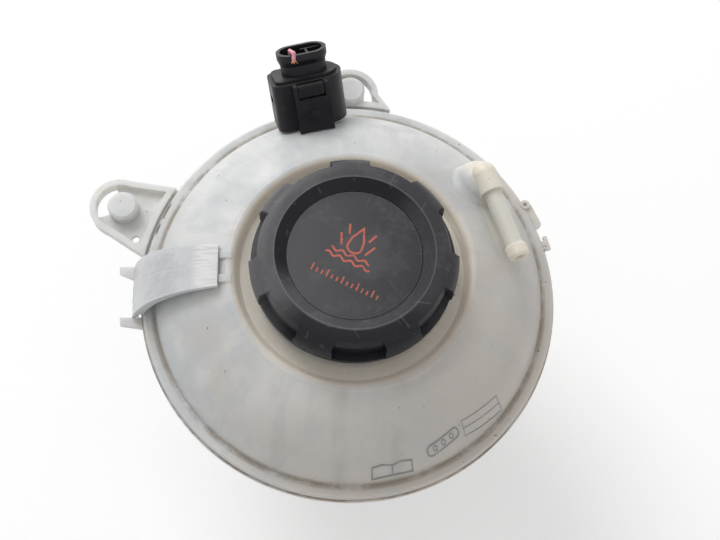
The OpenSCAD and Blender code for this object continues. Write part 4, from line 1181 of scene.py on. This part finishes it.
@dataclass
class DomePrint:
    """Faint grey outline shapes on the dome's lower right: a folded sheet, a lozenge and a box."""

    arc_radius: float = 43.596e-3
    arc_centre: Point = (34.276e-3, WELD_Z - 11.473e-3)
    line_width: float = 0.5e-3
    ring_width: float = 0.35e-3
    box_width: float = 0.24e-3
    thickness: float = 0.07e-3

    def on_dome(self, azimuth: float, radius: float, degrees: float, draw: Callable[[RibbonPen], None],
                name: str, ink: Material) -> Object:
        """Draws one shape round a place on the dome.

        Args:
            azimuth: Where the shape's centre is, in degrees.
            radius: Its distance from the axis.
            degrees: Turn of the shape.
            draw: Draws it on a flat sheet, in metres.
            name: The object's name.
            ink: The ink's material.

        Returns:
            The shape's object, riding on the tank.
        """
        turn = math.radians(degrees)

        def spot(x: float, y: float) -> Span:
            """Returns the azimuth and the distance from the axis of a flat point."""
            u = math.cos(turn) * x - math.sin(turn) * y
            v = math.sin(turn) * x + math.cos(turn) * y
            return math.radians(azimuth) + u / radius, radius + v

        def up(x: float, y: float) -> Vector:
            """Returns the dome's normal over a flat point."""
            angle, r = spot(x, y)
            lean = (r - self.arc_centre[0]) / self.arc_radius
            rise = math.sqrt(max(1.0 - lean * lean, 0.0))
            return Vector((math.cos(angle) * lean, math.sin(angle) * lean, rise))

        def lift(x: float, y: float) -> Vector:
            """Returns the dome's point over a flat point."""
            angle, r = spot(x, y)
            rise = math.sqrt(max(self.arc_radius**2 - (r - self.arc_centre[0]) ** 2, 0.0))
            return Vector((r * math.cos(angle), r * math.sin(angle), self.arc_centre[1] + rise))

        pen = RibbonPen(lift, up, self.line_width, self.thickness)
        draw(pen)
        piece = pen.finish(name, ink)
        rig.ride(piece, Body.TANK.value)
        return piece

    def build(self, ink: Material) -> list[Object]:
        """Makes the three shapes.

        Args:
            ink: The ink's material.

        Returns:
            Their objects.
        """

        def sheet(pen: RibbonPen) -> None:
            """Draws a folded sheet."""
            pen.line(placed([(-7.5, -1.8), (-7.5, 1.4), (-3.6, 1.9), (0, 1.3), (3.6, 1.9), (7.5, 1.4),
                             (7.5, -1.8), (0, -1.5)], FLAT, 0.0, MM), closed=True)
            pen.line(placed([(0.0, -1.5), (0.0, 1.3)], FLAT, 0.0, MM))

        def lozenge(pen: RibbonPen) -> None:
            """Draws a lozenge with three rings in it."""
            ends = arc((5.2, 0), 1.6, -80, 80, 10) + arc((-5.2, 0), 1.6, 100, 260, 10)
            pen.line(placed(ends, FLAT, 0.0, MM), closed=True)
            for x in (-3.6, 0.0, 3.6):
                ring = arc((x, 0.0), 0.8, 0, 324, 9)
                pen.line(placed(ring, FLAT, 0.0, MM), closed=True, width=self.ring_width)

        def box(pen: RibbonPen) -> None:
            """Draws a box with a line through it."""
            corners = [(-8.8, -2.4), (-8.8, 2.4), (8.8, 2.4), (8.8, -2.4)]
            pen.line(placed(corners, FLAT, 0.0, MM), closed=True, width=self.box_width)
            pen.line(placed([(-8.8, 0.0), (8.8, 0.0)], FLAT, 0.0, MM), width=self.box_width)

        return [self.on_dome(-78.1, 72.0e-3, 180.0, sheet, "dome_print_sheet", ink),
                self.on_dome(-61.4, 69.6e-3, 172.0, lozenge, "dome_print_lozenge", ink),
                self.on_dome(-46.9, 70.4e-3, 187.0, box, "dome_print_box", ink)]


@dataclass
class FrayedEnd:
    """Fine copper strands that stick out of the cut wire at the plug."""

    azimuth: float = 104.6
    lean: float = 40.0
    foot: Triple = (-14.986e-3, 67.045e-3, 113.278e-3)
    end: Triple = (-8.175e-3, 4.346e-3, 29.813e-3)
    way: Triple = (-0.309, 0.198, -0.930)
    strands: int = 9
    strand_radius: float = 0.11e-3
    bundle_radius: float = 0.42e-3
    sunk: float = 0.6e-3
    rows: int = 5
    corners: int = 6
    length: float = 2.0e-3
    fan: float = 0.55
    seed: int = 3

    def build(self, copper: Material) -> Object:
        """Makes the strands and lets them ride on the plug.

        Args:
            copper: The strands' material.

        Returns:
            The strands' object.
        """
        dice = np.random.default_rng(self.seed)
        spin = Matrix.Rotation(math.radians(self.azimuth), 4, "Z")
        tilt = Matrix.Rotation(math.radians(self.lean), 4, "Y")
        frame_of_sensor = Matrix.Translation(self.foot) @ (spin @ tilt)
        way = Vector(self.way).normalized()
        side = way.orthogonal().normalized()
        other = way.cross(side)
        points: list[Vector] = []
        faces: list[tuple[int, ...]] = []
        for i in range(self.strands):
            angle = 2 * math.pi * i / (self.strands - 1)
            out = (math.cos(angle) * side + math.sin(angle) * other) * (0.0 if i == self.strands - 1 else 1.0)
            length = self.length * float(dice.uniform(0.6, 1.2))
            bend = self.fan * float(dice.uniform(0.3, 1.1))
            first = len(points)
            for row in range(self.rows):
                t = row / (self.rows - 1)
                spread = self.bundle_radius + bend * length * t * t
                spine = Vector(self.end) + way * (t * length - self.sunk) + out * spread
                for corner in range(self.corners):
                    around = 2 * math.pi * corner / self.corners
                    ring = (math.cos(around) * side + math.sin(around) * other) * self.strand_radius
                    points.append(frame_of_sensor @ (spine + ring))
            last = first + self.corners * (self.rows - 1)
            for row in range(first, last, self.corners):
                for corner in range(self.corners):
                    a, b = row + corner, row + (corner + 1) % self.corners
                    faces.append((a, b, b + self.corners, a + self.corners))
            faces += [tuple(range(end, end + self.corners)) for end in (first, last)]
        piece = mesh_object("wire_strands", points, faces, copper)
        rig.ride(piece, Body.PLUG.value)
        return piece


@dataclass
class Camera:
    """The camera at the photograph's angle."""

    azimuth: float = -9.3
    elevation: float = 70.283
    roll: float = 9.311
    distance: float = 0.43113
    shift_right: float = 0.004263
    shift_up: float = 0.009265
    lens: float = 55.0
    sensor: float = 36.0

    def build(self) -> Object:
        """Makes the camera and sets it as the scene's own.

        Returns:
            The camera object.
        """
        a, e, r = (math.radians(v) for v in (self.azimuth, self.elevation, self.roll))
        back = Vector((math.sin(a) * math.cos(e), -math.cos(a) * math.cos(e), math.sin(e)))
        side = Vector((math.cos(a), math.sin(a), 0.0))
        up = back.cross(side)
        across = math.cos(r) * side + math.sin(r) * up
        upward = -math.sin(r) * side + math.cos(r) * up
        turn = Matrix((across, upward, back)).transposed()
        place = turn @ Vector((self.shift_right, self.shift_up, self.distance)) + Vector((0, 0, WELD_Z))
        data = bpy.data.cameras.new("camera")
        data.lens, data.sensor_width, data.sensor_fit = self.lens, self.sensor, "HORIZONTAL"
        data.clip_start, data.clip_end = 0.01, 20.0
        camera = linked("camera", data)
        camera.matrix_world = Matrix.Translation(place) @ turn.to_4x4()
        bpy.context.scene.camera = camera
        return camera


@dataclass
class Studio:
    """Floor, world and lamps."""

    floor_size: float = 6.0
    floor_colour: Rgb = (0.79, 0.79, 0.79)
    floor_lift: float = 0.26
    floor_rough: float = 0.9
    sky: float = 0.57

    def build(self) -> None:
        """Makes the floor, the world and the lamps."""
        scene = bpy.context.scene
        scene.view_settings.view_transform = "Standard"
        scene.world = self.world()
        half = self.floor_size / 2
        mesh = bpy.data.meshes.new("floor")
        corners = [(-half, -half, 0), (half, -half, 0), (half, half, 0), (-half, half, 0)]
        mesh.from_pydata(corners, [], [(0, 1, 2, 3)])
        floor = linked("floor", mesh)
        coat = Coat("floor_paper", Effects())
        coat.give(Base_Color=self.floor_colour, Roughness=self.floor_rough, Emission_Color=WHITE,
                  Emission_Strength=coat.times(self.seen(coat), self.floor_lift))
        mesh.materials.append(coat.material)
        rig.stage(floor)
        self.lamp("key", (-0.85, 1.4, 1.4), 1.1, 24.5)
        self.lamp("fill", (0.9, -0.9, 1.4), 1.4, 2.0)

    def seen(self, kit: NodeKit) -> Socket:
        """Returns 1 for rays that show a background: from the camera, off gloss and through glass."""
        path = kit.add("ShaderNodeLightPath")
        return kit.highest(*(path.outputs[f"Is {kind} Ray"] for kind in ("Camera", "Glossy", "Transmission")))

    def world(self) -> bpy.types.World:
        """Returns the world: white where it is seen, dimmer as a light."""
        world = bpy.data.worlds.new("studio")
        world.use_nodes = True
        kit = NodeKit(world.node_tree)
        background = world.node_tree.nodes["Background"]
        kit.put(background.inputs[0], WHITE)
        kit.put(background.inputs[1], kit.ramp(self.seen(kit), 0.0, 1.0, self.sky, 1.0))
        return world

    def lamp(self, name: str, place: Triple, size: float, watts: float) -> None:
        """Makes one square lamp that looks at the object.

        Args:
            name: The lamp's name.
            place: Where it stands, in metres.
            size: Length of its side.
            watts: Its power.
        """
        data = bpy.data.lights.new(name, "AREA")
        data.size, data.energy = size, watts
        lamp = linked(name, data)
        lamp.location = place
        aim = Vector(place) - Vector((0, 0, WELD_Z))
        lamp.rotation_euler = aim.to_track_quat("Z", "Y").to_euler()


class Wardrobe:
    """The finishes by material slot, each built once."""

    def __init__(self) -> None:
        """Builds every finish."""
        effects = Effects()
        self.slots: dict[str, Material] = {}
        for finish in (
            TankPlastic("shell_plastic"),
            StrapPlastic("strap_plastic"),
            CapBlack("cap_plastic", (0.008, 0.0085, 0.012), (0.30, 0.297, 0.305), rough=0.42, dusty=0.18,
                     specular=0.2, scuffed=0.12),
            SatinBlack("valve_plastic", (0.028, 0.028, 0.03), dusty=0.06),
            SoftRubber("rubber", (0.016, 0.016, 0.017)),
            Metal("spring_steel", (0.55, 0.55, 0.57)),
            Metal("rod_steel", (0.6, 0.6, 0.58), 0.25),
            SatinBlack("plug_plastic", (0.005, 0.0045, 0.0075), rough=0.42, dusty=0.018, specular=0.28,
                       scuffed=0.03, topped=0.11),
            SoftRubber("seal_silicone", (0.2, 0.05, 0.03), bloom=(0.3, 0.2, 0.16), rough=0.5),
            Metal("contact_brass", (0.62, 0.52, 0.3)),
            PlainFinish("lock_plastic", (0.2, 0.2, 0.21), 0.5),
            PlainFinish("wire_plastic", (0.62, 0.26, 0.32), 0.45, mottling=0.2),
            PlainFinish("dirt", (0.035, 0.028, 0.022), 0.9, mottling=0.3),
            Metal("copper", (0.72, 0.36, 0.2), 0.35),
            Ink("cap_ink", (0.50, 0.115, 0.075), (0.05, 0.05, 0.055), 0.45),
            Ink("dome_ink", (0.26, 0.255, 0.245), (0.46, 0.44, 0.41), 0.8),
        ):
            self.slots[finish.name] = finish.build(effects)

    def __getitem__(self, slot: str) -> Material:
        """Returns the material of a slot."""
        return self.slots[slot]

    def dress(self) -> None:
        """Gives each CAD node the material of its slot."""
        for part in frame["record"]["subparts"]:
            node = frame["nodes"][part["node"]]
            node.data.materials.clear()
            node.data.materials.append(self[part["material_slot"]])
            log.info("dressed %s in %s", part["node"], part["material_slot"])


def main() -> None:
    """Builds the scene in order and reports each piece."""
    write_size("frame")
    Camera().build()
    Studio().build()
    wardrobe = Wardrobe()
    wardrobe.dress()
    neck = ScrewThread("neck_thread", Body.TANK, "shell_plastic", 29e-3, 1.6e-3, WELD_Z + 29.4e-3, 1.3)
    cap = ScrewThread("cap_thread", Body.CAP, "cap_plastic", 31.8e-3, -1.55e-3, WELD_Z + 35.2e-3, 0.6,
                      start=180.0)
    pieces = [
        neck.build(wardrobe["shell_plastic"]),
        cap.build(wardrobe["cap_plastic"]),
        WeldBead().build(wardrobe["shell_plastic"]),
        DirtGrains().build(frame["nodes"]["upper_shell"], wardrobe["dirt"]),
        CapPrint().build(wardrobe["cap_ink"]),
        FrayedEnd().build(wardrobe["copper"]),
        *DomePrint().build(wardrobe["dome_ink"]),
    ]
    for piece in pieces:
        log.info("made %s: %d faces", piece.name, len(piece.data.polygons))
    write_size("dressed")


if __name__ == "__main__":
    main()
